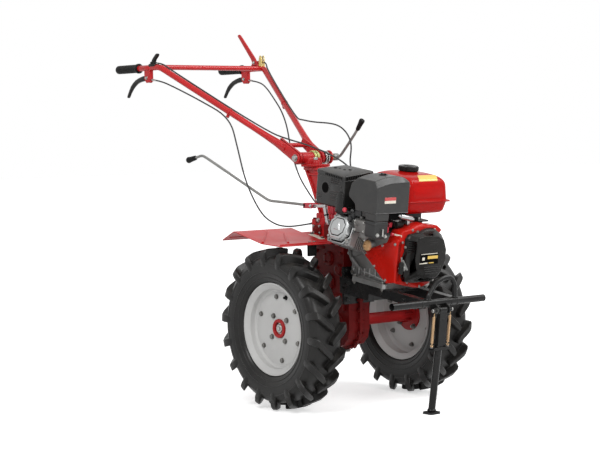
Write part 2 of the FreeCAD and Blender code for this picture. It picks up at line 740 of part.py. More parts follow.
def engine():
    head = cylinder().cut(clutch_bell())
    rocker = rocker_cover()
    duct = intake(head).cut(rocker)
    cover = recoil_starter()
    pieces = (("engine_crankcase", crankcase()), ("engine_cylinder", head),
              ("rocker_cover", rocker), ("fan_shroud", cut(fan_shroud(), head, duct)),
              ("recoil_starter", cover), ("recoil_handle", recoil_handle().cut(cover)),
              ("muffler", muffler()), ("exhaust_pipe", exhaust_pipe(head)),
              ("air_cleaner", air_cleaner()), ("intake_duct", duct),
              ("fuel_tank", fuel_tank()), ("tank_brackets", tank_brackets()),
              ("fuel_cap", fuel_cap()))
    for name, shape in pieces:
        place(name, pitched(shape))


# ---- front frame, bumper and stand ----------------------------------------------------------
def bumper_bar():
    ends = (BUMPER_X, -BUMPER_HALF_L, BUMPER_Z), (BUMPER_X, BUMPER_HALF_L, BUMPER_Z)
    return tube(*ends, BUMPER_R, BUMPER_WALL)


def bumper_core():
    """The space that the bumper bar fills, for whatever is welded to it."""
    return rod((BUMPER_X, -BUMPER_HALF_L, BUMPER_Z), (BUMPER_X, BUMPER_HALF_L, BUMPER_Z), BUMPER_R)


def frame_rails():
    """Two rails under the engine with ties, and the upright plate on the gearbox's front."""
    top = ENGINE_BASE_Z - SEAT
    low = top - RAIL_H
    inside, outside = RAIL_Y - RAIL_W / 2, RAIL_Y + RAIL_W / 2
    nose = block((BUMPER_X - 20, BUMPER_X + 6), (-outside, outside), (low, top))
    rails = [block((RAIL_REAR_X - 20, BUMPER_X), (-outside, -inside), (low, top)),
             block((RAIL_REAR_X - 20, BUMPER_X), (inside, outside), (low, top))]
    tie = block(RAIL_TIE_X, (-inside, inside), (top - 8, top))
    box = block((RAIL_REAR_X - 20, RAIL_TIE_X[0] + 20), (-outside, outside), (low - 26, low))
    frame = pitched(fuse(*rails, tie, box))
    front = GEARBOX_FRONT_X + SEAT
    plate = block((front, front + RAIL_PLATE_T), (-RAIL_PLATE_HALF_W, RAIL_PLATE_HALF_W), RAIL_PLATE_Z)
    behind = block((0, front), (-300, 300), (0, 1000))
    edge = SPLIT_FLANGE_T / 2 + SEAT
    notch = block((0, GEARBOX_LOWER_HALF_L + SPLIT_FLANGE_PROUD + SEAT), (-edge, edge),
                  (0, GEARBOX_STEP_Z + 20 + SEAT))
    leg_front = block((0, GEARBOX_LOWER_HALF_L + SEAT), (-GEARBOX_HALF_W - SEAT, GEARBOX_HALF_W + SEAT),
                      (0, GEARBOX_STEP_Z))
    return cut(fuse(frame, plate), behind, notch, leg_front, bumper_core())


def recoil_guard():
    """Bent tube in front of the starter, its feet on the bumper bar."""
    foot = BUMPER_Z
    points = [(BUMPER_X, -50, foot), (BUMPER_X, -50, foot + 24), (BUMPER_X, -14, foot + 68),
              (BUMPER_X, 26, foot + 86), (BUMPER_X, 64, foot + 84), (BUMPER_X, 80, foot + 60),
              (BUMPER_X, 80, foot)]
    return bent(points, GUARD_R).cut(bumper_core())


def stand_bracket():
    """Two ears under the bumper bar with the stand's pivot pin and its stop plate."""
    rear, front = BUMPER_X - 14, FRONT_X
    low, high = STAND_PIVOT_Z - 12, BUMPER_Z
    side = [(rear, high), (rear, high - 26), (rear + 14, low), (front - 4, low), (front, low + 6),
            (front, STAND_PIVOT_Z + 10), (BUMPER_X + 12, high)]
    ears = []
    for y in ((STAND_EAR_Y, STAND_EAR_Y + STAND_EAR_T), (-STAND_EAR_Y - STAND_EAR_T, -STAND_EAR_Y)):
        ears.append(xz_plate(side, y))
    reach = SPRING_Y + SPRING_R + 6
    pin = rod((STAND_PIVOT_X, -reach, STAND_PIVOT_Z), (STAND_PIVOT_X, reach, STAND_PIVOT_Z), STAND_PIN_R)
    return fuse(*ears, pin).cut(bumper_core())


def stand_leg():
    """Flat upper leg on the pin, cross plate at the knee and round lower leg to the foot."""
    half_t = STAND_LEG_T / 2
    run = V(STAND_KNEE_X - STAND_PIVOT_X, 0, STAND_KNEE_Z - STAND_PIVOT_Z).normalize()
    side = V(run.z, 0, -run.x)
    top = V(STAND_PIVOT_X, 0, STAND_PIVOT_Z)
    knee = V(STAND_KNEE_X, 0, STAND_KNEE_Z)
    corners = [top + side * half_t, top - side * half_t, knee - side * half_t, knee + side * half_t]
    half_w = STAND_LEG_W / 2
    flat = xz_plate([(c.x, c.z) for c in corners], (-half_w, half_w))
    eye = rod((top.x, -half_w, top.z), (top.x, half_w, top.z), half_t + 1.5)
    plate = block((STAND_KNEE_X - 16, STAND_KNEE_X + 16), (-STAND_PLATE_HALF_W, STAND_PLATE_HALF_W),
                  (STAND_KNEE_Z - STAND_PLATE_T / 2, STAND_KNEE_Z + STAND_PLATE_T / 2))
    lower = rod((STAND_KNEE_X - 6, 0, STAND_KNEE_Z), (STAND_FOOT_X, 0, STAND_FOOT_T), STAND_TUBE_R)
    leg = fuse(flat, eye, plate, lower)
    floor = block((STAND_FOOT_X - 60, STAND_FOOT_X + 60), (-60, 60), (-40, STAND_FOOT_T))
    pin_hole = rod((top.x, -half_w - 1, top.z), (top.x, half_w + 1, top.z), STAND_PIN_R + RUNNING)
    half = STAND_FOOT_HALF
    foot = block((STAND_FOOT_X - half, STAND_FOOT_X + half), (-half, half), (0, STAND_FOOT_T))
    return fuse(cut(leg, floor, pin_hole), rounded(foot, 7, along(Z_AXIS)))


def stand_springs():
    """The two return springs, from the pin's ends to the knee's cross plate."""
    springs = []
    for y in (-SPRING_Y - SPRING_R, SPRING_Y + SPRING_R):
        low = (STAND_KNEE_X, y, STAND_KNEE_Z + STAND_PLATE_T / 2 + 2 * SEAT)
        high = (STAND_PIVOT_X - 1, y, STAND_PIVOT_Z - STAND_PIN_R - 0.5)
        springs.append(rod(low, high, SPRING_R))
    return Part.makeCompound(springs)


def front_frame():
    rails = frame_rails()
    place("frame_rails", rails)
    place("bumper_bar", bumper_bar())
    place("recoil_guard", recoil_guard().cut(rails))
    place("stand_bracket", stand_bracket())
    place("stand_leg", stand_leg())
    place("stand_springs", stand_springs())


# ---- fenders ----------------------------------------------------------------------------------
def fender():
    """Folded sheet over the left wheel; its inner edge lies against the gearbox."""
    tyre_top = 2 * TYRE_R
    top = [(FENDER_REAR_X, tyre_top + FENDER_REAR_LIFT), (FENDER_RIDGE_X, tyre_top + FENDER_RIDGE_LIFT),
           (FENDER_FOLD_X, tyre_top + FENDER_FOLD_LIFT), (FENDER_FRONT_X, tyre_top + FENDER_FRONT_LIFT)]
    under = [(x, z - FENDER_T) for x, z in reversed(top)]
    sheet = xz_plate(top + under, (COVER_HALF_W + SEAT, FENDER_OUT_Y))
    step = COVER_FRONT_X - 2
    behind = block((FENDER_REAR_X - 1, COVER_REAR_X + 8), (0, FENDER_IN_Y), (0, 1000))
    beside = block((step, FENDER_FRONT_X + 1), (0, GEARBOX_UPPER_HALF_W + SEAT), (0, 1000))
    return cut(sheet, behind, beside)


def fenders():
    """Both fenders; each is notched where the clutch housing passes it."""
    left = fender()
    grow = 5.0
    bell = rod((GEARBOX_FRONT_X - 4, CRANK_Y, CRANK_Z + 26), (FENDER_FRONT_X + 8, CRANK_Y, CRANK_Z + 26),
               CLUTCH_NECK_R + 18 + grow)
    place("fenders", Part.makeCompound([left.cut(bell), mirrored(left).cut(bell)]))


# ---- handlebar --------------------------------------------------------------------------------
def column():
    """Upright casting from the shift cover to the turntable, widening towards its top."""
    top = TURNTABLE_Z - SEAT
    side = [(PIVOT_X - 14, top), (PIVOT_X + 94, top), (COVER_FRONT_X - 6, COVER_TOP_Z),
            (COVER_FRONT_X - 68, COVER_TOP_Z), (PIVOT_X + 28, 802)]
    return xz_plate(side, (-COLUMN_HALF_W, COLUMN_HALF_W))


def turntable():
    """Round plate on the column with the barrel that carries the handlebar's pivot."""
    middle_x = PIVOT_X + 40
    disc = rod((middle_x, 0, TURNTABLE_Z), (middle_x, 0, TURNTABLE_Z + TURNTABLE_T), TURNTABLE_R)
    barrel = rod((PIVOT_X, -BARREL_HALF_L, PIVOT_Z), (PIVOT_X, BARREL_HALF_L, PIVOT_Z), BARREL_R)
    neck = block((PIVOT_X - 12, PIVOT_X + 40), (-BARREL_HALF_L + 8, BARREL_HALF_L - 8),
                 (TURNTABLE_Z, PIVOT_Z))
    return fuse(disc, barrel, neck).cut(pivot_shaft())


def pivot_shaft():
    """Shaft through the barrel and the yoke, with the toothed lock discs on its left end."""
    shaft = rod((PIVOT_X, -PIVOT_END_Y, PIVOT_Z), (PIVOT_X, CLAMP_Y + 10, PIVOT_Z), PIVOT_R)
    discs = [rod((PIVOT_X, y, PIVOT_Z), (PIVOT_X, y + LOCK_DISC_T, PIVOT_Z), LOCK_DISC_R)
             for y in LOCK_DISC_Y]
    return fuse(shaft, *discs)


def clamp_lever(shaft):
    """Bent rod with a knob that locks the handlebar's tilt."""
    y = CLAMP_Y
    points = [(PIVOT_X + 4, y, PIVOT_Z), (PIVOT_X + 28, y, PIVOT_Z + 2), (PIVOT_X + 128, y, PIVOT_Z + 98),
              (PIVOT_X + 150, y, PIVOT_Z + 124)]
    lever = bent(points, LEVER_ROD_R, 30)
    hub = rod((PIVOT_X, y - 18, PIVOT_Z), (PIVOT_X, y + 10, PIVOT_Z), 14)
    knob = cone(points[-1], (PIVOT_X + 166, y, PIVOT_Z + 144), 8, 11)
    return fuse(lever, hub, knob).cut(shaft)


def bar_line(t):
    """Point at fraction t from the left bar's bend to its neck."""
    start = V(BAR_BEND_X, BAR_BEND_Y, BAR_BEND_Z)
    end = V(BAR_NECK_X, BAR_NECK_Y, BAR_NECK_Z)
    return start + (end - start) * t


def handlebar_tube():
    """Left bar: level under the grip, then down and inwards to the yoke's cheek."""
    neck = bar_line(1.0)
    points = [(BAR_END_X, BAR_BEND_Y, BAR_BEND_Z), (BAR_BEND_X, BAR_BEND_Y, BAR_BEND_Z),
              (neck.x, neck.y, neck.z)]
    shape = bent(points, BAR_R, 60, BAR_WALL)
    inside = block((BAR_BEND_X, 0), (-YOKE_Y - YOKE_T, YOKE_Y + YOKE_T), (0, 2 * BAR_BEND_Z))
    return shape.cut(inside)


def handlebar_core():
    neck = bar_line(1.0)
    points = [(BAR_END_X, BAR_BEND_Y, BAR_BEND_Z), (BAR_BEND_X, BAR_BEND_Y, BAR_BEND_Z),
              (neck.x, neck.y, neck.z)]
    return bent(points, BAR_R, 60)


def yoke():
    """Two cheeks on the pivot shaft and the spacers that join them behind the barrel."""
    back = V(BAR_BEND_X - BAR_NECK_X, 0, BAR_BEND_Z - BAR_NECK_Z).normalize()
    up = V(-back.z, 0, back.x) * -1
    pivot = V(PIVOT_X, 0, PIVOT_Z)
    end = pivot + back * YOKE_L
    corners = [pivot + up * YOKE_R, end + up * 16, end - up * 16, pivot - up * YOKE_R]
    cheek = xz_plate([(c.x, c.z) for c in corners], (YOKE_Y, YOKE_Y + YOKE_T))
    eye = rod((PIVOT_X, YOKE_Y, PIVOT_Z), (PIVOT_X, YOKE_Y + YOKE_T, PIVOT_Z), YOKE_R)
    left = fuse(cheek, eye)
    spot = pivot + back * (YOKE_L - 30)
    spacer = rod((spot.x, -YOKE_Y - 1, spot.z), (spot.x, YOKE_Y + 1, spot.z), 9)
    bore = rod((PIVOT_X, -100, PIVOT_Z), (PIVOT_X, 100, PIVOT_Z), PIVOT_R + RUNNING)
    return fuse(left, mirrored(left), spacer).cut(bore)


def crossbar(bars):
    x = BAR_BEND_X - 14
    return rod((x, -BAR_BEND_Y, BAR_BEND_Z), (x, BAR_BEND_Y, BAR_BEND_Z), CROSSBAR_R).cut(bars)


def grip():
    outer = rod((GRIP_REAR_X, BAR_BEND_Y, BAR_BEND_Z), (GRIP_FRONT_X, BAR_BEND_Y, BAR_BEND_Z), GRIP_R)
    collar = rod((GRIP_FRONT_X - 6, BAR_BEND_Y, BAR_BEND_Z), (GRIP_FRONT_X, BAR_BEND_Y, BAR_BEND_Z),
                 GRIP_R + 3)
    bore = rod((BAR_END_X, BAR_BEND_Y, BAR_BEND_Z), (GRIP_FRONT_X + 1, BAR_BEND_Y, BAR_BEND_Z),
               BAR_R + 0.05)
    return fuse(outer, collar).cut(bore)


def lever_bracket(x, side):
    y = side * BAR_BEND_Y
    plates = block((x - 20, x + 22), (y - 9, y + 9), (BAR_BEND_Z - 62, BAR_BEND_Z))
    return plates


def release_lever(x, side):
    """Curved hand lever that frees one wheel, under the grip."""
    y = side * BAR_BEND_Y
    top = BAR_BEND_Z
    points = [(x - 20, top - 32), (x - 42, top - 34), (x - 92, top - 48), (x - 128, top - 72),
              (x - 158, top - 112), (x - 148, top - 118), (x - 116, top - 84), (x - 84, top - 64),
              (x - 40, top - 54), (x - 20, top - 54)]
    return xz_plate(points, (y - 6, y + 6))


def clutch_lever():
    """Main clutch lever on the left bar, standing up and back."""
    x, y, z = CLUTCH_LEVER_X, BAR_BEND_Y, BAR_BEND_Z
    tip_x, tip_z = x - CLUTCH_LEVER_BACK, z + CLUTCH_LEVER_RISE
    points = [(x, z + BAR_R), (x + 28, z + BAR_R), (x + 2, z + 47), (tip_x + 10, tip_z),
              (tip_x, tip_z - 7), (x - 24, z + 37)]
    arm = xz_plate(points, (y - CLUTCH_LEVER_T / 2, y + CLUTCH_LEVER_T / 2))
    foot = block((x - 14, x + 36), (y - 11, y + 11), (z, z + BAR_R + 7))
    return fuse(arm, foot)


def clutch_latch():
    y = BAR_BEND_Y
    return block((CLUTCH_LATCH_X, CLUTCH_LATCH_X + CLUTCH_LATCH_L), (y - 10, y + 10),
                 (BAR_BEND_Z, BAR_BEND_Z + CLUTCH_LATCH_H))


def throttle_lever():
    x, y, z = THROTTLE_X, -BAR_BEND_Y, BAR_BEND_Z
    base = block((x, x + THROTTLE_BASE_L), (y - 14, y + 14), (z, z + THROTTLE_BASE_H))
    low, high = z + THROTTLE_BASE_H - 4, z + THROTTLE_RISE
    arm = xz_plate([(x + 2, low), (x + 22, low), (x + 6, high), (x - 8, high - 2)], (y - 4, y + 4))
    return fuse(base, arm)


def handlebar():
    left = handlebar_tube()
    core = handlebar_core()
    right_core = mirrored(core)
    shaft = pivot_shaft()
    place("handlebar_column", column())
    place("handlebar_turntable", turntable())
    place("pivot_shaft", shaft)
    place("clamp_lever", clamp_lever(shaft))
    place("handlebar_tube_left", left)
    place("handlebar_tube_right", mirrored(left))
    place("handlebar_yoke", yoke())
    cross = crossbar(fuse(core, right_core))
    place("handlebar_crossbar", cross)
    rubber = grip()
    place("grips", Part.makeCompound([rubber, mirrored(rubber)]))
    brackets = []
    levers = []
    for x, side, bar in ((BRACKET_RIGHT_X, -1, right_core), (BRACKET_LEFT_X, 1, core)):
        brackets.append(lever_bracket(x, side).cut(bar))
        levers.append(release_lever(x, side))
    place("lever_brackets", Part.makeCompound(brackets))
    place("release_levers", Part.makeCompound(levers))
    place("clutch_lever", clutch_lever().cut(core))
    place("clutch_latch", cut(clutch_latch(), core, cross))
    place("throttle_lever", cut(throttle_lever(), right_core, cross))


def gear_lever():
    """Long selector rod back to the operator, its knob, clevis and upright link."""
    y = -GEARBOX_UPPER_HALF_W - SEAT - 6
    points = [(-716, -190, 918), (-660, -184, 931), (-336, -106, 753), (-196, y - 2, 741), (-150, y, 738)]
    lever = bent(points, LEVER_ROD_R, 60)
    knob = cone((-716, -190, 918), (-752, -194, 910), 9, 14)
    clevis = block((-152, -96), (y - 12, y + 12), (724, 748))
    link = block((-96, -38), (y - 5, y + 5), (730, 742))
    bar = block((-50, -26), (y - 2, y + 6), (626, 742))
    return fuse(lever, knob, clevis, link, bar)


def beside_bar(t, side):
    """Point on top of a handlebar tube where a cable lies along it."""
    run = (bar_line(1) - bar_line(0)).normalize()
    up = (Z_AXIS - run * run.z).normalize()
    spot = bar_line(t) + up * (BAR_R + CABLE_R + 2)
    return (spot.x, side * spot.y, spot.z)


def eased(points, step):
    """Points at about even steps along a smooth curve through the given ones."""
    curve = Part.BSplineCurve()
    curve.interpolate([V(*p) for p in points])
    count = max(2, round(curve.length() / step))
    return [(p.x, p.y, p.z) for p in curve.discretize(Number=count + 1)]


def cables():
    """Control cables along their routes from the levers to what they work."""
    bracket_front = 22 + 3 * SEAT
    rear_face = COVER_REAR_X - 3 * SEAT
    rim_top = pitched(Part.Vertex(ENGINE_REAR_X - CLUTCH_RIM_T / 2, 0, CRANK_Z)).Point

    def rim_point(y, lift):
        rise = math.sqrt((CLUTCH_R + 6) ** 2 - (y - CRANK_Y) ** 2) + lift
        tilt = math.radians(PITCH)
        return (rim_top.x + rise * math.sin(tilt), y, rim_top.z + rise * math.cos(tilt))

    routes = {
        "cable_release_right": eased([
            (BRACKET_RIGHT_X + bracket_front, -265, 1240), (-838, -262, 1234), (-767, -240, 1205),
            (-656, -200, 1146), (-520, -160, 1072), (-465, -156, 960), (-421, -152, 822),
            (-353, -132, 700), (-300, -106, 661), (-250, -86, 652), (-195, -60, 658),
            (rear_face, -45, 668)], CABLE_STEP),
        "cable_release_left": eased([
            (BRACKET_LEFT_X + bracket_front, 265, 1242), (-871, 262, 1234), (-800, 246, 1212),
            (-700, 212, 1158), (-596, 172, 1102), (-550, 162, 1036), (-510, 142, 965),
            (-400, 92, 850), (-310, 68, 784), (-215, 56, 712), (rear_face, 45, 672)], CABLE_STEP),
        "cable_throttle": [
            (THROTTLE_X + THROTTLE_BASE_L + SEAT, -265, 1306), (-818, -262, 1303), beside_bar(0.06, -1), beside_bar(0.78, -1),
            (-234, -70, 986), (-198, -44, 974), (-98, -34, 947), (-15, -30, 919), (33, -26, 897),
            (95, -14, 850), (116, -10, 760), rim_point(-10, 0.9)],
        "cable_clutch": [
            (CLUTCH_LATCH_X + CLUTCH_LATCH_L + 4 * SEAT, 265, 1318), (-812, 262, 1310), beside_bar(0.06, 1), beside_bar(0.65, 1),
            (-400, 118, 1066), (-322, 116, 1055), (-223, 116, 1050), (-166, 116, 1039),
            (-127, 116, 1016), (-103, 116, 988), (-91, 114, 954), (-104, 112, 890), (-60, 106, 800),
            (60, 85, 748), rim_point(70, 2.6)],
    }
    for name, points in routes.items():
        print(name)
        place(name, bent(points, CABLE_R))


def controls():
    place("gear_lever", gear_lever())
    cables()


wheels()
gearbox()
engine()
front_frame()
fenders()
handlebar()
controls()

for name, shape in PIECES.items():
    shape.exportStep("parts/" + name + ".step")
print(len(PIECES), "pieces")
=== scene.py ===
import json
import math

import bmesh
import bpy
from mathutils import Matrix, Vector


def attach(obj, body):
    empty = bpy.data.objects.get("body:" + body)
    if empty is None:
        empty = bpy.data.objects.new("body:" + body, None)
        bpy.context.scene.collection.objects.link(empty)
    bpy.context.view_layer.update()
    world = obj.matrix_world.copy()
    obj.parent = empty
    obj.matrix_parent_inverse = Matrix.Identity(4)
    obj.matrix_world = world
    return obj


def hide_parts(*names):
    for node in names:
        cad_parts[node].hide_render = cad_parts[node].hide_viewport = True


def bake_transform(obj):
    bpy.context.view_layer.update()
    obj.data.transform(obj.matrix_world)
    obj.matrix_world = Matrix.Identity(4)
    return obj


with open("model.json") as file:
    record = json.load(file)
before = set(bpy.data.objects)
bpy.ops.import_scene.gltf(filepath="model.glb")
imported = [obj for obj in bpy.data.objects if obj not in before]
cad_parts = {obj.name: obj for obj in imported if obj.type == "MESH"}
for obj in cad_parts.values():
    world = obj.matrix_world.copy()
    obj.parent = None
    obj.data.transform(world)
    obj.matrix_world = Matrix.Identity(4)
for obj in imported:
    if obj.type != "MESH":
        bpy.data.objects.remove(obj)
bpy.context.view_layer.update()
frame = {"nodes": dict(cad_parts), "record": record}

bl_info = {
    "name": "Two-wheel tractor",
    "version": (1, 0, 0),
    "blender": (4, 5, 0),
    "location": "3D View > Sidebar > Tractor",
    "description": "Dresses the packed walk-behind tractor with detailed pieces and finishes",
    "category": "Object",
}

# The pieces are laid out in millimetres with the axle above x = 0; piece() brings them home.
AXLE_X = 305.5
MM = 0.001
HOME = Matrix.Scale(MM, 4) @ Matrix.Translation((AXLE_X, 0, 0))
# The engine and its rails are drawn level, then pitched about this point.
PITCH_AT = Vector((305.0, 0.0, 447.0))
ENGINE_PITCH = math.radians(7.5)
PITCH = (Matrix.Translation(PITCH_AT) @ Matrix.Rotation(ENGINE_PITCH, 4, "Y")
         @ Matrix.Translation(-PITCH_AT))
CYLINDER_LEAN = math.radians(21.0)
CRANK = Vector((0.0, 24.0, 572.0))
CYLINDER_X = 152.0
# Up the cylinder is +Z here, with the crank's axis at the origin.
ON_CYLINDER = (PITCH @ Matrix.Translation((CYLINDER_X, CRANK.y, CRANK.z))
               @ Matrix.Rotation(math.pi / 2 - CYLINDER_LEAN, 4, "X"))
FRONT, BACK = Vector((1, 0, 0)), Vector((-1, 0, 0))
LEFT, RIGHT = Vector((0, 1, 0)), Vector((0, -1, 0))
UP, DOWN = Vector((0, 0, 1)), Vector((0, 0, -1))

# Bolts by (across flats, head height, washer radius, washer thickness); those that follow a
# size in the panel leave out the first number.
COVER_SCREW = (8, 3.4, 5.4, 1.0)
LEVER_BOLT = (10, 4.5, 7, 1.4)
ELBOW_BOLT = (10, 5, 7, 1.4)
BRACKET_BOLT = (11, 5, 8, 1.4)
GEARBOX_BOLT = (5.0, 8.0, 1.5)
CASE_BOLT = (4.6, 7.4, 1.4)
ROOT_3 = 1.732        # across flats over corner radius


# ---- mesh helpers: those that add a shape to a bmesh return its new vertices ----------------
def turn_to(direction):
    """Rotation that brings +Z to a direction."""
    return Vector(direction).normalized().to_track_quat("Z", "Y").to_matrix().to_4x4()


def placed(bm, verts, at, direction):
    """Take a shape that was built about +Z to its place."""
    bmesh.ops.transform(bm, matrix=Matrix.Translation(at) @ turn_to(direction), verts=verts)
    return verts


def added(bm, before):
    return [v for v in bm.verts if v not in before]


def faces_of(verts):
    return list({f for v in verts for f in v.link_faces})


def geometry_of(verts):
    return list({g for v in verts for g in (v, *v.link_edges, *v.link_faces)})


def verts_in(geometry):
    return [g for g in geometry if isinstance(g, bmesh.types.BMVert)]


def face_outwards(bm, verts):
    bmesh.ops.recalc_face_normals(bm, faces=faces_of(verts))


def bevelled(bm, verts, width, segments=2, least_angle=0.5):
    """Round the sharp edges among some vertices."""
    mine = set(verts)
    others = set(bm.verts) - mine
    edges = [e for e in bm.edges if e.verts[0] in mine and e.verts[1] in mine
             and len(e.link_faces) == 2 and e.calc_face_angle(0) > least_angle]
    bmesh.ops.bevel(bm, geom=edges, offset=width, segments=segments, profile=0.5,
                    affect="EDGES", clamp_overlap=True, material=-1)
    return added(bm, others)


def box(bm, low, high, bevel=0.0, segments=2):
    low, high = Vector(low), Vector(high)
    made = bmesh.ops.create_cube(bm, size=1.0)["verts"]
    bmesh.ops.scale(bm, vec=high - low, verts=made)
    bmesh.ops.translate(bm, vec=(high + low) / 2, verts=made)
    return bevelled(bm, made, bevel, segments) if bevel else made


def cone(bm, sides, radius, end_radius, depth, middle=0.0):
    """Capped cone or disc about +Z, with its middle at a height."""
    made = bmesh.ops.create_cone(bm, cap_ends=True, segments=sides, radius1=radius,
                                 radius2=end_radius, depth=depth)["verts"]
    bmesh.ops.translate(bm, vec=(0, 0, middle), verts=made)
    return made


def rod(bm, start, end, radius, end_radius=None, sides=24, bevel=0.0):
    start, end = Vector(start), Vector(end)
    run = end - start
    made = cone(bm, sides, radius, radius if end_radius is None else end_radius, run.length)
    placed(bm, made, (start + end) / 2, run)
    return bevelled(bm, made, bevel) if bevel else made


def lathe(bm, profile, axis=LEFT, centre=(0, 0, 0), steps=64, closed=False):
    """Turn (radius, along) points about an axis through the centre."""
    centre = Vector(centre)
    side = axis.orthogonal().normalized()
    points = [bm.verts.new(centre + side * r + axis * a) for r, a in profile]
    edges = [bm.edges.new(pair) for pair in zip(points, points[1:])]
    if closed:
        edges.append(bm.edges.new((points[-1], points[0])))
    before = set(bm.verts) - set(points)
    bmesh.ops.spin(bm, geom=points + edges, cent=centre, axis=axis, angle=2 * math.pi,
                   steps=steps, use_merge=True, use_duplicate=False)
    bmesh.ops.remove_doubles(bm, verts=added(bm, before), dist=1e-4)
    return added(bm, before)


def slab(bm, outline, travel, bevel=0.0, segments=2, least_angle=0.5):
    """Closed outline of 3D points, moved along a vector."""
    before = set(bm.verts)
    face = bm.faces.new([bm.verts.new(p) for p in outline])
    grown = bmesh.ops.extrude_face_region(bm, geom=[face])["geom"]
    bmesh.ops.translate(bm, vec=travel, verts=verts_in(grown))
    made = added(bm, before)
    face_outwards(bm, made)
    return bevelled(bm, made, bevel, segments, least_angle) if bevel else made


def xz_slab(bm, outline, y, *rounding):
    return slab(bm, [(px, y[0], pz) for px, pz in outline], (0, y[1] - y[0], 0), *rounding)


def yz_slab(bm, outline, x, *rounding):
    return slab(bm, [(x[0], py, pz) for py, pz in outline], (x[1] - x[0], 0, 0), *rounding)


def cheeks(bm, outline, y, offsets, thickness, *rounding):
    """The same upright plate at several places across the tractor."""
    for offset in offsets:
        xz_slab(bm, outline, (y + offset, y + offset + thickness), *rounding)


def ring_points(count, radius, first=0.0):
    return [(radius * math.cos(first + 2 * math.pi * i / count),
             radius * math.sin(first + 2 * math.pi * i / count)) for i in range(count)]


def bolt(bm, at, direction, across, height, washer, washer_t, thread=None):
    """Hexagon head on a washer; at is where the washer sits."""
    made = cone(bm, 20, washer, washer, washer_t, washer_t / 2)
    corner = across / ROOT_3
    made += bevelled(bm, cone(bm, 6, corner, corner, height, washer_t + height / 2), 0.8, 1)
    if thread:
        made += cone(bm, 14, thread, thread * 0.9, height, washer_t + height * 1.1)
    return placed(bm, made, at, direction)


def screw(bm, at, direction, radius, height):
    """Round domed head."""
    before = set(bm.verts)
    ball = bmesh.ops.create_uvsphere(bm, u_segments=16, v_segments=8, radius=radius)["verts"]
    bmesh.ops.bisect_plane(bm, geom=geometry_of(ball), plane_co=(0, 0, 0), plane_no=UP, clear_inner=True)
    made = added(bm, before)
    bmesh.ops.scale(bm, vec=(1, 1, height / radius), verts=made)
    return placed(bm, made, at, direction)


def swept(bm, points, radius, sides=4):
    """Round bar along a smooth curve that has the given points as its control points."""
    curve = bpy.data.curves.new("route", "CURVE")
    curve.dimensions = "3D"
    curve.bevel_depth = radius
    curve.bevel_resolution = sides
    curve.use_fill_caps = True
    curve.resolution_u = 6
    spline = curve.splines.new("NURBS")
    spline.points.add(len(points) - 1)
    for point, spot in zip(spline.points, points):
        point.co = (*spot, 1.0)
    spline.order_u = 3
    spline.use_endpoint_u = True
    holder = bpy.data.objects.new("route", curve)
    mesh = bpy.data.meshes.new_from_object(holder)
    before = set(bm.verts)
    bm.from_mesh(mesh)
    bpy.data.objects.remove(holder)
    bpy.data.curves.remove(curve)
    bpy.data.meshes.remove(mesh)
    return added(bm, before)


def piece(name, bm, finish, replaces=(), body="chassis", engine=False, smooth=35.0, matrix=None,
          rounding=0.0, blend=None):
    """Turn a bmesh into a finished object on its body, in place of the nodes that it replaces; with a blend
    it is only baked in place and hangs on no body.
    """
    if engine:
        matrix = PITCH
    bmesh.ops.transform(bm, matrix=HOME @ matrix if matrix else HOME, verts=bm.verts)
    bmesh.ops.recalc_face_normals(bm, faces=bm.faces)
    mesh = bpy.data.meshes.new(name)
    bm.to_mesh(mesh)
    bm.free()
    mesh.shade_smooth()
    mesh.set_sharp_from_angle(angle=math.radians(smooth))
    mesh.materials.append(FINISHES[finish])
    thing = bpy.data.objects.new(name, mesh)
    bpy.context.scene.collection.objects.link(thing)
    if rounding:
        modifier = thing.modifiers.new("Rounded edges", "BEVEL")
        modifier.width = rounding * MM
        modifier.segments = 2
        modifier.limit_method = "ANGLE"
        modifier.angle_limit = math.radians(40)
        modifier.harden_normals = False
    if blend:
        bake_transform(thing)
    else:
        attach(thing, body)
    for node in replaces:
        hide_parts(node)
    return thing


# ---- outlines ---------------------------------------------------------------------------------
def rounded_outline(low, high, r, per_corner=6):
    """Corner points of a rectangle with round corners, in one turn."""
    (x0, y0), (x1, y1) = low, high
    points = []
    for cx, cy, first in ((x1 - r, y1 - r, 0), (x0 + r, y1 - r, 90), (x0 + r, y0 + r, 180),
                          (x1 - r, y0 + r, 270)):
        for i in range(per_corner + 1):
            a = math.radians(first + 90 * i / per_corner)
            points.append((cx + r * math.cos(a), cy + r * math.sin(a)))
    return points


def same_spot(vert):
    return tuple(round(c, 5) for c in vert.co)


def stacked(bm, rings, bevel=0.0, segments=2, least_angle=0.5):
    """Closed skin through rings of 3D points that have the same count, with both ends closed."""
    before = set(bm.verts)
    top = bm.faces.new([bm.verts.new(p) for p in rings[0]])
    base = list(top.verts)
    for ring in rings[1:]:
        old = {same_spot(v): i for i, v in enumerate(base)}
        grown = bmesh.ops.extrude_face_region(bm, geom=[top])["geom"]
        top = next(g for g in grown if isinstance(g, bmesh.types.BMFace))
        fresh = [None] * len(base)
        for v in top.verts:
            fresh[old[same_spot(v)]] = v
        for v, p in zip(fresh, ring):
            v.co = p
        base = fresh
    made = added(bm, before)
    face_outwards(bm, made)
    return bevelled(bm, made, bevel, segments, least_angle) if bevel else made


def mirrored_copy(bm, verts):
    """The same shape on the other side of the middle plane."""
    copy = bmesh.ops.duplicate(bm, geom=list(verts) + faces_of(verts))["geom"]
    fresh = verts_in(copy)
    bmesh.ops.scale(bm, vec=(1, -1, 1), verts=fresh)
    bmesh.ops.reverse_faces(bm, faces=[g for g in copy if isinstance(g, bmesh.types.BMFace)])
    return fresh


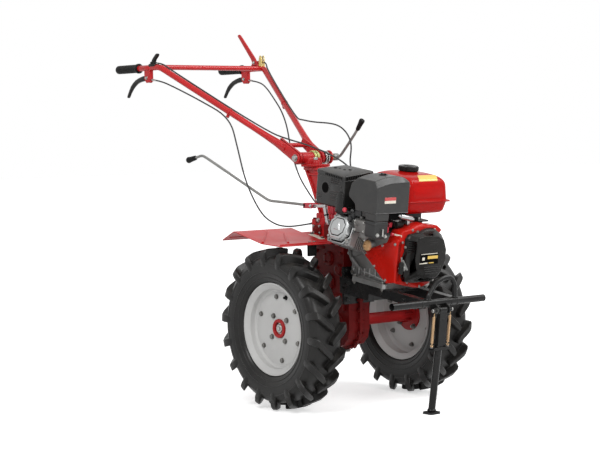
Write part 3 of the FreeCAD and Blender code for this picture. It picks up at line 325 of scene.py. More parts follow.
def around(bm, verts, count, axis=LEFT, centre=(0, 0, 0)):
    """Repeat a shape evenly about an axis."""
    faces = faces_of(verts)
    turn = 2 * math.pi / count
    for i in range(1, count):
        copy = bmesh.ops.duplicate(bm, geom=list(verts) + faces)["geom"]
        bmesh.ops.rotate(bm, cent=centre, matrix=Matrix.Rotation(turn * i, 3, axis), verts=verts_in(copy))


def washer_ring(bm, at, direction, inner, outer, thick, steps=28):
    """Flat ring about a direction, standing on its place."""
    made = lathe(bm, [(inner, 0), (outer, 0), (outer, thick), (inner, thick)], UP, steps=steps, closed=True)
    return placed(bm, made, at, direction)


# ---- shader groups ----------------------------------------------------------------------------
def new_group(name, inputs, outputs):
    group = bpy.data.node_groups.new(name, "ShaderNodeTree")
    for label, kind, default in inputs:
        socket = group.interface.new_socket(label, in_out="INPUT", socket_type=kind)
        if default is not None:
            socket.default_value = default
    for label, kind in outputs:
        group.interface.new_socket(label, in_out="OUTPUT", socket_type=kind)
    return group, group.nodes.new("NodeGroupInput"), group.nodes.new("NodeGroupOutput")


def math_node(tree, operation, a, b=None, c=None, clamp=False):
    node = tree.nodes.new("ShaderNodeMath")
    node.operation = operation
    node.use_clamp = clamp
    for i, value in enumerate((a, b, c)):
        if value is None:
            continue
        if isinstance(value, (int, float)):
            node.inputs[i].default_value = value
        else:
            tree.links.new(value, node.inputs[i])
    return node.outputs[0]


def noise_node(tree, vector, scale, detail=3.0, rough=0.5):
    node = tree.nodes.new("ShaderNodeTexNoise")
    node.inputs["Detail"].default_value = detail
    node.inputs["Roughness"].default_value = rough
    tree.links.new(vector, node.inputs["Vector"])
    if isinstance(scale, (int, float)):
        node.inputs["Scale"].default_value = scale
    else:
        tree.links.new(scale, node.inputs["Scale"])
    return node.outputs["Fac"]


def ramp(tree, value, low, high):
    """Smooth 0 to 1 between two values."""
    node = tree.nodes.new("ShaderNodeMapRange")
    node.interpolation_type = "SMOOTHSTEP"
    tree.links.new(value, node.inputs["Value"])
    node.inputs["From Min"].default_value = low
    node.inputs["From Max"].default_value = high
    return node.outputs["Result"]


def seen_directly(tree):
    """1 for rays from the camera or through glass, 0 for the rest, and the Light Path node."""
    rays = tree.nodes.new("ShaderNodeLightPath")
    return math_node(tree, "MAXIMUM", rays.outputs["Is Camera Ray"],
                     rays.outputs["Is Transmission Ray"]), rays


def make_edge_wear():
    """Rounded edge normal and a broken-up mask along outside edges."""
    group, into, out = new_group(
        "Edge wear", [("Vector", "NodeSocketVector", None), ("Amount", "NodeSocketFloat", 0.3)],
        [("Mask", "NodeSocketFloat"), ("Normal", "NodeSocketVector")])
    bevel = group.nodes.new("ShaderNodeBevel")
    bevel.samples = 4
    bevel.inputs["Radius"].default_value = 0.0012
    surface = group.nodes.new("ShaderNodeNewGeometry")
    dot = group.nodes.new("ShaderNodeVectorMath")
    dot.operation = "DOT_PRODUCT"
    group.links.new(bevel.outputs["Normal"], dot.inputs[0])
    group.links.new(surface.outputs["Normal"], dot.inputs[1])
    edge = ramp(group, dot.outputs["Value"], 0.985, 0.90)
    broken = ramp(group, noise_node(group, into.outputs["Vector"], 180.0, 4.0, 0.65), 0.42, 0.62)
    mask = math_node(group, "MULTIPLY", edge, broken)
    group.links.new(math_node(group, "MULTIPLY", mask, into.outputs["Amount"], clamp=True),
                    out.inputs["Mask"])
    group.links.new(bevel.outputs["Normal"], out.inputs["Normal"])
    return group


def make_grain():
    """Fine surface relief with a slower waviness, as sprayed, cast or moulded."""
    group, into, out = new_group(
        "Surface grain", [("Vector", "NodeSocketVector", None), ("Scale", "NodeSocketFloat", 400.0),
                          ("Waviness", "NodeSocketFloat", 0.3)],
        [("Height", "NodeSocketFloat"), ("Blotches", "NodeSocketFloat")])
    fine = noise_node(group, into.outputs["Vector"], into.outputs["Scale"], 4.0, 0.6)
    slow_scale = math_node(group, "MULTIPLY", into.outputs["Scale"], 0.06)
    slow = noise_node(group, into.outputs["Vector"], slow_scale, 2.0, 0.5)
    bent_slow = math_node(group, "MULTIPLY", slow, into.outputs["Waviness"])
    group.links.new(math_node(group, "ADD", fine, bent_slow), out.inputs["Height"])
    blotches = noise_node(group, into.outputs["Vector"], 9.0, 5.0, 0.6)
    group.links.new(ramp(group, blotches, 0.3, 0.7), out.inputs["Blotches"])
    return group


def make_dust_and_top_sheen():
    """Dusting that settles on what faces up, in soft patches; raised, it paints a lighter sheen on up-facing
    faces as light from above would.
    """
    group, into, out = new_group(
        "Dust and top sheen", [("Vector", "NodeSocketVector", None), ("Amount", "NodeSocketFloat", 0.2)],
        [("Mask", "NodeSocketFloat")])
    surface = group.nodes.new("ShaderNodeNewGeometry")
    split = group.nodes.new("ShaderNodeSeparateXYZ")
    group.links.new(surface.outputs["Normal"], split.inputs[0])
    # Up-facing faces get most: settled dust, and painted sheen where light from above would lighten them.
    up = ramp(group, split.outputs["Z"], 0.1, 1.0)
    patch = ramp(group, noise_node(group, into.outputs["Vector"], 22.0, 5.0, 0.7), 0.35, 0.75)
    mask = math_node(group, "MULTIPLY", math_node(group, "ADD", up, 0.25), patch)
    group.links.new(math_node(group, "MULTIPLY", mask, into.outputs["Amount"], clamp=True),
                    out.inputs["Mask"])
    return group


def make_brushed():
    """Fine drawn lines round or along a turned or drawn bar."""
    group, into, out = new_group(
        "Drawn lines", [("Vector", "NodeSocketVector", None), ("Scale", "NodeSocketFloat", 900.0)],
        [("Height", "NodeSocketFloat")])
    stretch = group.nodes.new("ShaderNodeMapping")
    stretch.inputs["Scale"].default_value = (0.12, 1.0, 0.3)
    group.links.new(into.outputs["Vector"], stretch.inputs["Vector"])
    group.links.new(noise_node(group, stretch.outputs["Vector"], into.outputs["Scale"], 2.0, 0.5),
                    out.inputs["Height"])
    return group


# The finish of each node of the frame by its material slot, and of the nodes that differ.
SLOT_FINISH = {
    "red_paint": "paint", "red_casting": "casting", "tank_red": "tank", "red_alloy": "shroud",
    "black_paint": "black", "black_plastic": "plastic", "tyre": "tyre_rubber", "rubber": "grip_rubber",
    "wheel_white": "wheel", "alloy": "alloy", "rocker_alloy": "bright_alloy", "dark_alloy": "dark_alloy",
    "zinc": "zinc", "spring_copper": "spring", "latch_brass": "brass"}
NODE_FINISH = {
    "handlebar_yoke": "head_red", "shift_cover": "head_red", "handlebar_tube_left": "bar_red",
    "handlebar_tube_right": "bar_red", "handlebar_crossbar": "bar_red", "clutch_lever": "bar_red"}
# Pale colour under the dusting mask: settled dust, and where the amount is raised, painted sheen on lit
# tops.
DUST_AND_SHEEN_COLOUR = (0.20, 0.18, 0.155)
CHIPPED, SCUFFED = (0.10, 0.085, 0.08), (0.22, 0.21, 0.20)
GROUPS = {}
FINISHES = {}


def finish(name, slot, colour, rough, metal=0.0, coat=0.0, grain=(500.0, 0.3, 0.1), dust_and_sheen=0.12,
           wear=(0.0, (0.5, 0.5, 0.5)), vary=0.12, spread=0.12, drawn=0.0, specular=0.5, rounded=True):
    """One procedural material: blotchy colour, grain, dusting that doubles as a painted top sheen, and worn
    edges over a Principled shader.
    """
    material = bpy.data.materials.new(name)
    material.use_nodes = True
    material.diffuse_color = (*colour, 1.0)
    material.roughness = rough
    material.metallic = metal
    tree = material.node_tree
    shader = tree.nodes["Principled BSDF"]
    shader.inputs["Metallic"].default_value = metal
    shader.inputs["Coat Weight"].default_value = coat
    shader.inputs["Coat Roughness"].default_value = 0.06
    shader.inputs["Specular IOR Level"].default_value = specular
    spots = tree.nodes.new("ShaderNodeTexCoord").outputs["Object"]

    def group(label, **values):
        node = tree.nodes.new("ShaderNodeGroup")
        node.node_tree = GROUPS[label]
        tree.links.new(spots, node.inputs["Vector"])
        for key, value in values.items():
            node.inputs[key].default_value = value
        return node

    skin = group("Surface grain", Scale=grain[0], Waviness=grain[2])
    edges = group("Edge wear", Amount=wear[0])
    # The dusting mask also paints a lighter sheen on up-facing faces.
    dust_and_sheen_group = group("Dust and top sheen", Amount=dust_and_sheen * 0.5)

    def mix(factor, a, b):
        node = tree.nodes.new("ShaderNodeMix")
        node.data_type = "RGBA"
        tree.links.new(factor, node.inputs["Factor"])
        for socket, value in ((node.inputs[6], a), (node.inputs[7], b)):
            if isinstance(value, tuple):
                socket.default_value = (*value[:3], 1.0)
            else:
                tree.links.new(value, socket)
        return node.outputs[2]

    darker = tuple(c * (1 - vary) for c in colour)
    lighter = tuple(min(1.0, c * (1 + vary * 0.5)) for c in colour)
    shade = mix(skin.outputs["Blotches"], darker, lighter)
    if wear[0]:
        shade = mix(edges.outputs["Mask"], shade, wear[1])
    shade = mix(dust_and_sheen_group.outputs["Mask"], shade, DUST_AND_SHEEN_COLOUR)
    tree.links.new(shade, shader.inputs["Base Color"])
    uneven = math_node(tree, "MULTIPLY_ADD", skin.outputs["Blotches"], spread, rough - spread / 2)
    uneven = math_node(tree, "MULTIPLY_ADD", dust_and_sheen_group.outputs["Mask"], 0.5, uneven, clamp=True)
    tree.links.new(uneven, shader.inputs["Roughness"])
    height = skin.outputs["Height"]
    if drawn:
        lines = group("Drawn lines")
        height = math_node(tree, "MULTIPLY_ADD", lines.outputs["Height"], drawn, height)
    bump = tree.nodes.new("ShaderNodeBump")
    bump.inputs["Strength"].default_value = grain[1]
    bump.inputs["Distance"].default_value = 0.0008
    tree.links.new(height, bump.inputs["Height"])
    if rounded:
        tree.links.new(edges.outputs["Normal"], bump.inputs["Normal"])
    tree.links.new(bump.outputs["Normal"], shader.inputs["Normal"])
    FINISHES[name] = material


# ---- what a user would change -------------------------------------------------------------------
def length(label, text, default):
    return bpy.props.FloatProperty(name=label, description=text, default=default, min=0.0, unit="LENGTH")


def number(label, text, default, low, high):
    return bpy.props.IntProperty(name=label, description=text, default=default, min=low, max=high)


def angle(label, text, degrees):
    return bpy.props.FloatProperty(name=label, description=text, default=math.radians(degrees),
                                   subtype="ANGLE")


def colour(label, text, default):
    return bpy.props.FloatVectorProperty(name=label, description=text, default=default, size=3,
                                         min=0.0, max=1.0, subtype="COLOR")


class TractorSizes(bpy.types.PropertyGroup):
    lug_count: number("Lugs", "Lugs on each half of a tyre", 18, 8, 40)
    lug_draft: length("Lug draft", "How much wider a lug is at its foot than at its top", 0.006)
    wheel_bolt: length("Wheel bolt", "Width across flats of the bolts in the wheel discs", 0.014)
    engine_bolt: length("Engine bolt", "Width across flats of the engine's cover bolts", 0.011)
    fender_rib: length("Fender rib", "Height of the ribs pressed into the fenders", 0.004)
    spring_wire: length("Spring wire", "Thickness of the stand springs' wire", 0.0022)
    spring_turns: number("Spring turns", "Turns in each stand spring", 26, 4, 60)
    grip_ribs: number("Grip ribs", "Ribs along each rubber grip", 15, 3, 40)
    cable: length("Cable", "Outside thickness of the control cables", 0.006)


class TractorColours(bpy.types.PropertyGroup):
    paint: colour("Paint", "Red enamel of the tubes and fenders", (0.46, 0.008, 0.010))
    casting: colour("Castings", "Dark red enamel of the gearbox", (0.125, 0.004, 0.004))
    tank: colour("Tank", "High-gloss red of the fuel tank", (0.40, 0.004, 0.003))
    shroud: colour("Shroud", "Red of the fan shroud", (0.42, 0.009, 0.005))
    black: colour("Black enamel", "Rails, bumper, guard and stand", (0.011, 0.011, 0.0112))
    plastic: colour("Black plastic", "Intake elbow and wing nut", (0.026, 0.026, 0.0265))
    rubber: colour("Tyre rubber", "Tyres", (0.010, 0.0096, 0.0092))
    wheel: colour("Wheel discs", "Off-white enamel", (0.48, 0.478, 0.47))
    alloy: colour("Castings, bare", "Bare aluminium castings", (0.30, 0.30, 0.295))
    bright: colour("Die-cast cover", "Bright aluminium of the rocker cover", (0.46, 0.47, 0.47))
    zinc: colour("Zinc", "Plated rods, bolts and discs", (0.40, 0.40, 0.385))
    plate: colour("Blank plates", "Pale blank plates", (0.70, 0.66, 0.56))


class TractorCamera(bpy.types.PropertyGroup):
    place: bpy.props.FloatVectorProperty(name="Place", description="Where the camera stands", size=3,
                                         default=(5.1465, -4.0892, 1.0172), subtype="TRANSLATION",
                                         unit="LENGTH")
    heading: angle("Heading", "Direction of view from +X", 141.368)
    dip: angle("Dip", "How far the view looks down", 3.173)
    roll: angle("Roll", "Turn about the line of view", -1.0)
    lens: bpy.props.FloatProperty(name="Lens", description="Focal length on a 36 mm sensor",
                                  default=100.72, subtype="DISTANCE_CAMERA", unit="CAMERA")


def sizes():
    return bpy.context.scene.tractor_sizes


def colours():
    return bpy.context.scene.tractor_colours


class TractorOperator:
    bl_options = {"REGISTER", "UNDO"}


def mix_finishes():
    GROUPS["Edge wear"] = make_edge_wear()
    GROUPS["Surface grain"] = make_grain()
    GROUPS["Dust and top sheen"] = make_dust_and_top_sheen()
    GROUPS["Drawn lines"] = make_brushed()
    c = colours()
    finish("paint", "red_paint", tuple(c.paint), 0.36, specular=0.32, coat=0.05, grain=(260, 0.07, 0.5),
           dust_and_sheen=0.08, wear=(0.35, CHIPPED), vary=0.10)
    finish("bar_red", "red_paint", tuple(c.paint), 0.24, specular=0.30, coat=0.12,
           grain=(160, 0.02, 0.5), dust_and_sheen=0.04, vary=0.05, rounded=False)
    finish("casting", "red_casting", tuple(c.casting), 0.46, specular=0.12, grain=(420, 0.38, 0.6),
           dust_and_sheen=0.22, wear=(0.45, CHIPPED), vary=0.22)
    finish("hub_red", "red_paint", (0.34, 0.010, 0.011), 0.40, specular=0.2, grain=(300, 0.12, 0.5),
           dust_and_sheen=0.15, wear=(0.35, CHIPPED), vary=0.18)
    finish("head_red", "red_casting", (0.40, 0.008, 0.010), 0.38, specular=0.25, grain=(380, 0.2, 0.5),
           dust_and_sheen=0.12, wear=(0.35, CHIPPED), vary=0.15)
    finish("tank", "tank_red", tuple(c.tank), 0.16, specular=0.06, coat=0.08, grain=(200, 0.03, 0.6),
           dust_and_sheen=0.06, vary=0.06, spread=0.06)
    finish("shroud", "red_alloy", tuple(c.shroud), 0.22, specular=0.10, coat=0.04, grain=(260, 0.07, 0.6),
           dust_and_sheen=0.08, wear=(0.3, CHIPPED), vary=0.10)
    finish("black", "black_paint", tuple(c.black), 0.24, specular=0.18, coat=0.03, grain=(420, 0.12, 0.4),
           dust_and_sheen=0.16, wear=(0.5, (0.16, 0.15, 0.14)), vary=0.25)
    # Its heavy dusting also paints the lid top lighter than the sides, as light from above would.
    finish("muffler_black", "black_paint", (0.008, 0.008, 0.0078), 0.36, specular=0.45,
           grain=(300, 0.10, 0.5), dust_and_sheen=0.30, wear=(0.5, SCUFFED), vary=0.25)
    finish("plastic", "black_plastic", tuple(c.plastic), 0.42, specular=0.25, grain=(900, 0.16, 0.1),
           dust_and_sheen=0.14, vary=0.12)
    # Its heavy dusting also paints the crowned lid and chamfer lighter, as light from above would.
    finish("cleaner_plastic", "black_plastic", (0.009, 0.009, 0.0087), 0.34, specular=0.52,
           grain=(900, 0.14, 0.1), dust_and_sheen=0.30, vary=0.12)
    finish("cover_plastic", "black_plastic", (0.011, 0.0105, 0.010), 0.30, specular=0.16,
           grain=(800, 0.12, 0.2), dust_and_sheen=0.12, vary=0.15)
    finish("tyre_rubber", "tyre", tuple(c.rubber), 0.33, grain=(300, 0.26, 0.5), dust_and_sheen=0.16, vary=0.3,
           wear=(0.35, (0.05, 0.048, 0.046)), specular=0.25)
    finish("grip_rubber", "rubber", (0.008, 0.008, 0.008), 0.50, specular=0.12, grain=(600, 0.25, 0.2),
           dust_and_sheen=0.12)
    finish("cable_skin", "rubber", (0.03, 0.031, 0.032), 0.38, specular=0.3,
           grain=(700, 0.08, 0.2), dust_and_sheen=0.08)
    finish("wheel", "wheel_white", tuple(c.wheel), 0.42, specular=0.4, grain=(300, 0.06, 0.6), dust_and_sheen=0.10,
           wear=(0.25, (0.45, 0.42, 0.38)), vary=0.05)
    finish("alloy", "alloy", tuple(c.alloy), 0.46, metal=0.75, grain=(520, 0.40, 0.5), dust_and_sheen=0.25,
           wear=(0.5, (0.62, 0.62, 0.60)), vary=0.25)
    finish("dark_alloy", "dark_alloy", (0.135, 0.130, 0.125), 0.46, metal=0.4, grain=(520, 0.40, 0.5),
           dust_and_sheen=0.25, wear=(0.5, (0.4, 0.4, 0.38)), vary=0.25)
    finish("bright_alloy", "rocker_alloy", tuple(c.bright), 0.32, metal=0.85, grain=(600, 0.10, 0.4),
           dust_and_sheen=0.06, vary=0.08)
    finish("zinc", "zinc", tuple(c.zinc), 0.30, metal=1.0, grain=(700, 0.06, 0.3), dust_and_sheen=0.08, vary=0.12,
           drawn=0.5)
    finish("rod_steel", "zinc", (0.23, 0.23, 0.22), 0.36, metal=0.12, grain=(600, 0.06, 0.3), dust_and_sheen=0.08,
           vary=0.2, specular=0.4)
    finish("bolt_steel", "zinc", (0.17, 0.165, 0.155), 0.40, metal=0.8, grain=(600, 0.08, 0.3),
           dust_and_sheen=0.10, vary=0.25)
    # Lighter than the black enamel: painted glare on the rail tops, with scuffed edges.
    finish("rail_top_painted_glare", "black_paint", (0.075, 0.074, 0.070), 0.40, grain=(420, 0.2, 0.4), dust_and_sheen=0.3,
           wear=(0.5, SCUFFED), vary=0.3)
    finish("dull_steel", "zinc", (0.33, 0.32, 0.31), 0.45, metal=0.9, grain=(500, 0.15, 0.4), dust_and_sheen=0.15)
    finish("spring", "spring_copper", (0.66, 0.44, 0.24), 0.38, metal=0.4, grain=(600, 0.06, 0.3), dust_and_sheen=0.10)
    finish("brass", "latch_brass", (0.62, 0.47, 0.18), 0.32, metal=0.9, grain=(500, 0.08, 0.3), dust_and_sheen=0.1,
           vary=0.2)
    finish("passivated", "latch_brass", (0.42, 0.43, 0.16), 0.38, metal=0.7, grain=(500, 0.1, 0.3),
           dust_and_sheen=0.1, vary=0.3)
    finish("plug", "latch_brass", (0.55, 0.32, 0.15), 0.5, grain=(500, 0.12, 0.3), dust_and_sheen=0.15)
    finish("plate", "wheel_white", tuple(c.plate), 0.35, coat=0.3, grain=(400, 0.03, 0.3), dust_and_sheen=0.05,
           vary=0.05)
    finish("yellow_plate", "latch_brass", (0.72, 0.47, 0.07), 0.35, coat=0.3, grain=(400, 0.03, 0.3),
           dust_and_sheen=0.05, vary=0.05)
    finish("red_plate", "red_paint", (0.50, 0.05, 0.05), 0.35, coat=0.3, grain=(400, 0.03, 0.3),
           dust_and_sheen=0.05, vary=0.05)
    # Near-black: painted shade in holes, slots, recesses and a groove, and the black starter plate.
    finish("dark", "black_plastic", (0.003, 0.003, 0.003), 0.9, grain=(400, 0.1, 0.3), dust_and_sheen=0.0,
           specular=0.05)
    finish("red_knob", "red_paint", (0.50, 0.03, 0.05), 0.35, grain=(400, 0.05, 0.3), dust_and_sheen=0.05)
    slot_of = {part["node"]: part["material_slot"] for part in frame["record"]["subparts"]}
    for name, node in frame["nodes"].items():
        chosen = FINISHES[NODE_FINISH.get(name, SLOT_FINISH[slot_of[name]])]
        if not node.material_slots:
            node.data.materials.append(chosen)
        for material_slot in node.material_slots:
            material_slot.material = chosen


class TRACTOR_OT_finishes(TractorOperator, bpy.types.Operator):
    """Mix the paints, castings, plastics and rubbers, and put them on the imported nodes"""
    bl_idname = "tractor.finishes"
    bl_label = "Finishes"

    def execute(self, context):
        mix_finishes()
        return {"FINISHED"}


# The world's light on the tractor, the floor's glow below it and from which distance it is full
# white, and how much of that glow shows in mirrors.
AMBIENT = 0.34
FLOOR_GLOW, FLOOR_FADE, FLOOR_MIRRORED = 0.55, (1.2, 4.0), 0.6


def set_stage():
    scene = bpy.context.scene
    scene.view_settings.view_transform = "Standard"
    view = scene.tractor_camera
    camera = bpy.data.cameras.new("Camera")
    camera.lens = view.lens
    camera.sensor_width = 36.0
    camera.clip_end = 60.0
    holder = bpy.data.objects.new("Camera", camera)
    holder.matrix_world = (Matrix.Translation(view.place)
                           @ Matrix.Rotation(view.heading - math.pi / 2, 4, "Z")
                           @ Matrix.Rotation(math.pi / 2 - view.dip, 4, "X")
                           @ Matrix.Rotation(view.roll, 4, "Z"))
    scene.collection.objects.link(holder)
    scene.camera = holder

    def lamp(name, place, aim, size, power, mirrored=True):
        light = bpy.data.lights.new(name, "AREA")
        light.shape = "RECTANGLE"
        light.size, light.size_y = size
        light.energy = power
        thing = bpy.data.objects.new(name, light)
        thing.location = place
        thing.rotation_euler = (Vector(aim) - Vector(place)).to_track_quat("-Z", "Y").to_euler()
        thing.visible_glossy = mirrored
        scene.collection.objects.link(thing)

    lamp("Key lamp", (1.6, -3.4, 3.8), (0.1, 0, 0.5), (2.0, 1.6), 105)
    lamp("Front lamp", (4.6, -0.6, 2.4), (0.2, 0, 0.6), (1.4, 1.8), 60)
    lamp("Top lamp", (2.1, 1.9, 3.5), (0.1, 0, 0.6), (2.2, 1.8), 80)
    lamp("Fill lamp", (4.4, -3.6, 1.2), (0.2, 0.1, 0.35), (1.8, 1.4), 42, mirrored=False)
    lamp("Back lamp", (-3.2, 3.0, 2.6), (0.0, 0, 0.7), (2.4, 2.4), 40, mirrored=False)

    world = bpy.data.worlds.new("Studio")
    world.use_nodes = True
    tree = world.node_tree
    shown, rays = seen_directly(tree)
    shown = math_node(tree, "MAXIMUM", shown, rays.outputs["Is Glossy Ray"])
    back = tree.nodes["Background"]
    back.inputs["Color"].default_value = (1, 1, 1, 1)
    tree.links.new(math_node(tree, "MAXIMUM", shown, AMBIENT), back.inputs["Strength"])
    scene.world = world

    bm = bmesh.new()
    bmesh.ops.create_grid(bm, x_segments=2, y_segments=2, size=30.0)
    bmesh.ops.translate(bm, vec=(0, 0, -0.0005), verts=bm.verts)
    mesh = bpy.data.meshes.new("Floor")
    bm.to_mesh(mesh)
    bm.free()
    floor = bpy.data.objects.new("Floor", mesh)
    scene.collection.objects.link(floor)
    pale = bpy.data.materials.new("Pale floor")
    pale.use_nodes = True
    tree = pale.node_tree
    shader = tree.nodes["Principled BSDF"]
    shader.inputs["Base Color"].default_value = (0.80, 0.80, 0.80, 1)
    shader.inputs["Roughness"].default_value = 0.9
    shader.inputs["Specular IOR Level"].default_value = 0.1
    glow = tree.nodes.new("ShaderNodeEmission")
    glow.inputs["Color"].default_value = (1, 1, 1, 1)
    shown, rays = seen_directly(tree)
    spots = tree.nodes.new("ShaderNodeTexCoord").outputs["Object"]
    distance = tree.nodes.new("ShaderNodeVectorMath")
    distance.operation = "LENGTH"
    tree.links.new(spots, distance.inputs[0])
    far = ramp(tree, distance.outputs["Value"], *FLOOR_FADE)
    far = math_node(tree, "MULTIPLY_ADD", far, 1 - FLOOR_GLOW, FLOOR_GLOW)
    mirrored = math_node(tree, "MULTIPLY", rays.outputs["Is Glossy Ray"], FLOOR_MIRRORED)
    visible = math_node(tree, "MAXIMUM", shown, mirrored)
    strength = math_node(tree, "MULTIPLY", visible, far)
    tree.links.new(strength, glow.inputs["Strength"])
    both = tree.nodes.new("ShaderNodeAddShader")
    tree.links.new(shader.outputs[0], both.inputs[0])
    tree.links.new(glow.outputs[0], both.inputs[1])
    tree.links.new(both.outputs[0], tree.nodes["Material Output"].inputs["Surface"])
    mesh.materials.append(pale)


class TRACTOR_OT_stage(TractorOperator, bpy.types.Operator):
    """Set the camera, the soft lamps and the pale floor"""
    bl_idname = "tractor.stage"
    bl_label = "Stage"

    def execute(self, context):
        set_stage()
        return {"FINISHED"}


# ---- wheels -------------------------------------------------------------------------------------
TYRE_R, HALF_TYRE = 298.0, 73.0
# A lug starts this far round at the middle, sweeps back by its sweep towards the shoulder, and
# its end there is squared up over the last millimetres.
LUG_START, LUG_SWEEP, LUG_SWEEP_END = 31.0, 62.0, 68.0
LUG_SQUARE_FROM, LUG_SQUARE_OVER = 60.0, 20.0
LUG_NARROWING, LUG_SLANT = 0.24, 0.62
WHEEL_AT = {"left": Vector((0, 311, TYRE_R)), "right": Vector((0, -311, TYRE_R))}


def wheel_piece(name, bm, finish_name, side, replaces=(), smooth=35.0):
    """Place a piece built about the origin with +Y outboard on one of the wheels."""
    if side == "right":
        bmesh.ops.scale(bm, vec=(1, -1, 1), verts=bm.verts)
        bmesh.ops.reverse_faces(bm, faces=bm.faces)
    bmesh.ops.translate(bm, vec=WHEEL_AT[side], verts=bm.verts)
    piece(name + side, bm, finish_name, replaces, "wheel_" + side, smooth=smooth)


def tyre_carcass(bm):
    half = [(153.2, 30), (153.4, 38), (158, 42), (172.3, 44.4), (174, 50), (177.5, 55.5), (183, 59),
            (187, 60.4), (188.2, 62.6), (191, 62.8), (192, 61.6), (199, 64.6), (206, 66.6), (207, 68.4),
            (210, 68.8), (211.5, 67.6), (222, 69.0), (232, 69.4), (240, 68.8), (241.5, 70.2), (245, 69.8),
            (246, 68.0), (256, 64.0), (263, 58), (268, 50), (271, 38), (272.5, 20)]
    profile = half + [(r, -y) for r, y in reversed(half)]
    lathe(bm, profile, LEFT, steps=108, closed=True)


def tyre_lug(bm):
    draft = sizes().lug_draft / MM / 2
    stations = [(-6, 298, -6, 266, 9.5), (14, 298, 14, 266, 10.5), (32, 297.5, 30, 264, 11),
                (50, 296, 44, 260, 12), (63, 291.5, 54, 254, 13.5), (70, 283, 61, 246, 15),
                (72.8, 268, 65, 238, 15.5), (72.4, 250, 66, 230, 14.5), (70.5, 233, 66, 224, 11)]
    last = len(stations) - 1
    made = bmesh.ops.create_cube(bm, size=1.0)["verts"]
    bmesh.ops.translate(bm, vec=(0, 0.5, 0), verts=made)
    geom = geometry_of(made)
    for i in range(1, last):
        cut = bmesh.ops.bisect_plane(bm, geom=geom, plane_co=(0, i / last, 0), plane_no=(0, 1, 0))
        geom = list({g for g in geom + cut["geom"] if g.is_valid})
    made = verts_in(geom)
    for v in made:
        y_top, r_top, y_low, r_low, half_w = stations[round(v.co.y * last)]
        high = v.co.z > 0
        y = y_top if high else y_low
        r = r_top if high else r_low
        width = half_w if high else half_w + draft
        lean = max(0.0, min(1.0, (LUG_SQUARE_FROM - y_top) / LUG_SQUARE_OVER))
        side = 1 if v.co.x > 0 else -1
        x = LUG_START - LUG_SWEEP / HALF_TYRE * min(y_top, LUG_SWEEP_END)
        x += side * width * (1 - LUG_NARROWING * lean)
        y = max(stations[0][0], y + side * width * LUG_SLANT * lean)
        v.co = (r * math.sin(x / TYRE_R), y, r * math.cos(x / TYRE_R))
    face_outwards(bm, made)
    return bevelled(bm, made, 2.4, 1, 0.6)


def build_tyres():
    count = sizes().lug_count
    for side in ("left", "right"):
        bm = bmesh.new()
        outer = tyre_lug(bm)
        inner = mirrored_copy(bm, outer)
        bmesh.ops.rotate(bm, cent=(0, 0, 0), matrix=Matrix.Rotation(math.pi / count, 3, "Y"), verts=inner)
        around(bm, outer + inner, count)
        tyre_carcass(bm)
        wheel_piece("Tyre_", bm, "tyre_rubber", side, ["tyre_" + side], smooth=32)


class TRACTOR_OT_tyres(TractorOperator, bpy.types.Operator):
    """Tyres with ringed sidewalls and swept chevron lugs"""
    bl_idname = "tractor.tyres"
    bl_label = "Tyres"

    def execute(self, context):
        build_tyres()
        return {"FINISHED"}


def build_wheel_hardware():
    across = sizes().wheel_bolt / MM
    outer, inner = 13.5, 0.5        # where bolts sit on the disc's outboard and inboard side
    for side in ("left", "right"):
        bm = bmesh.new()
        lathe(bm, [(16.1, -245), (22, -245), (22, -6), (24, -1.5), (28, 0.5), (60, 0.5), (61, 1.5),
                   (61, 7.7), (60.2, 8.45), (34.6, 8.45), (34.6, 19.0), (33.2, 20.5), (24.4, 20.5),
                   (23, 19.2), (22.4, 8.6), (16.1, 8.6)], LEFT, steps=72, closed=True)
        for x, z in ring_points(6, 28, 0.3):
            rod(bm, (x * 0.9, -34, z * 0.9), (x, 0.8, z), 3.0, sides=8)
        wheel_piece("Hub_", bm, "hub_red", side, ["wheel_hub_" + side], smooth=30)
        bm = bmesh.new()
        lathe(bm, [(0, -291), (14.6, -291), (16, -289.6), (16, 15.6), (14.8, 17.2), (8.2, 17.2),
                   (7.4, 15.2), (0, 15.2)], LEFT, steps=48)
        bolt(bm, (0, 15.4, 0), LEFT, 13, 4.0, 8.0, 1.4)
        washer_ring(bm, (0, 9.0, 0), LEFT, 16.1, 21.5, 3.0)
        wheel_piece("Axle_", bm, "zinc", side, smooth=30)
        bm = bmesh.new()
        for x, z in ring_points(6, 117.5, math.radians(36.5)):
            bolt(bm, (x, outer, z), LEFT, across, 5.6, 9.6, 1.6)
            bolt(bm, (x, outer - 5, z), RIGHT, across, 8.0, 9.6, 1.6, thread=4.6)
        for x, z in ring_points(4, 55, math.radians(37)):
            bolt(bm, (x, outer, z), LEFT, across + 1, 6.4, 10.4, 1.8)
            bolt(bm, (x, inner, z), RIGHT, across + 1, 9.0, 10.4, 1.8, thread=5.0)
        wheel_piece("Wheel_bolts_", bm, "bolt_steel", side, smooth=30)
        bm = bmesh.new()
        lathe(bm, [(0, 7), (8.6, 7), (8.9, 9.5), (8.9, 14.5), (7.6, 15.4), (5.2, 16), (4.6, 20),
                   (4.9, 20.6), (4.9, 24), (4.2, 25), (0, 25)], LEFT, (42, 0, 116), steps=24)
        wheel_piece("Valve_", bm, "grip_rubber", side, smooth=30)
        bm = bmesh.new()
        lathe(bm, [(146.6 + a, 21.5 + b) for a, b in ring_points(8, 2.2)], steps=96, closed=True)
        wheel_piece("Rim_weld_", bm, "wheel", side, smooth=60)


class TRACTOR_OT_wheel_hardware(TractorOperator, bpy.types.Operator):
    """Hubs, half axles, disc bolts, valves and rim welds"""
    bl_idname = "tractor.wheel_hardware"
    bl_label = "Hubs and wheel bolts"

    def execute(self, context):
        build_wheel_hardware()
        return {"FINISHED"}


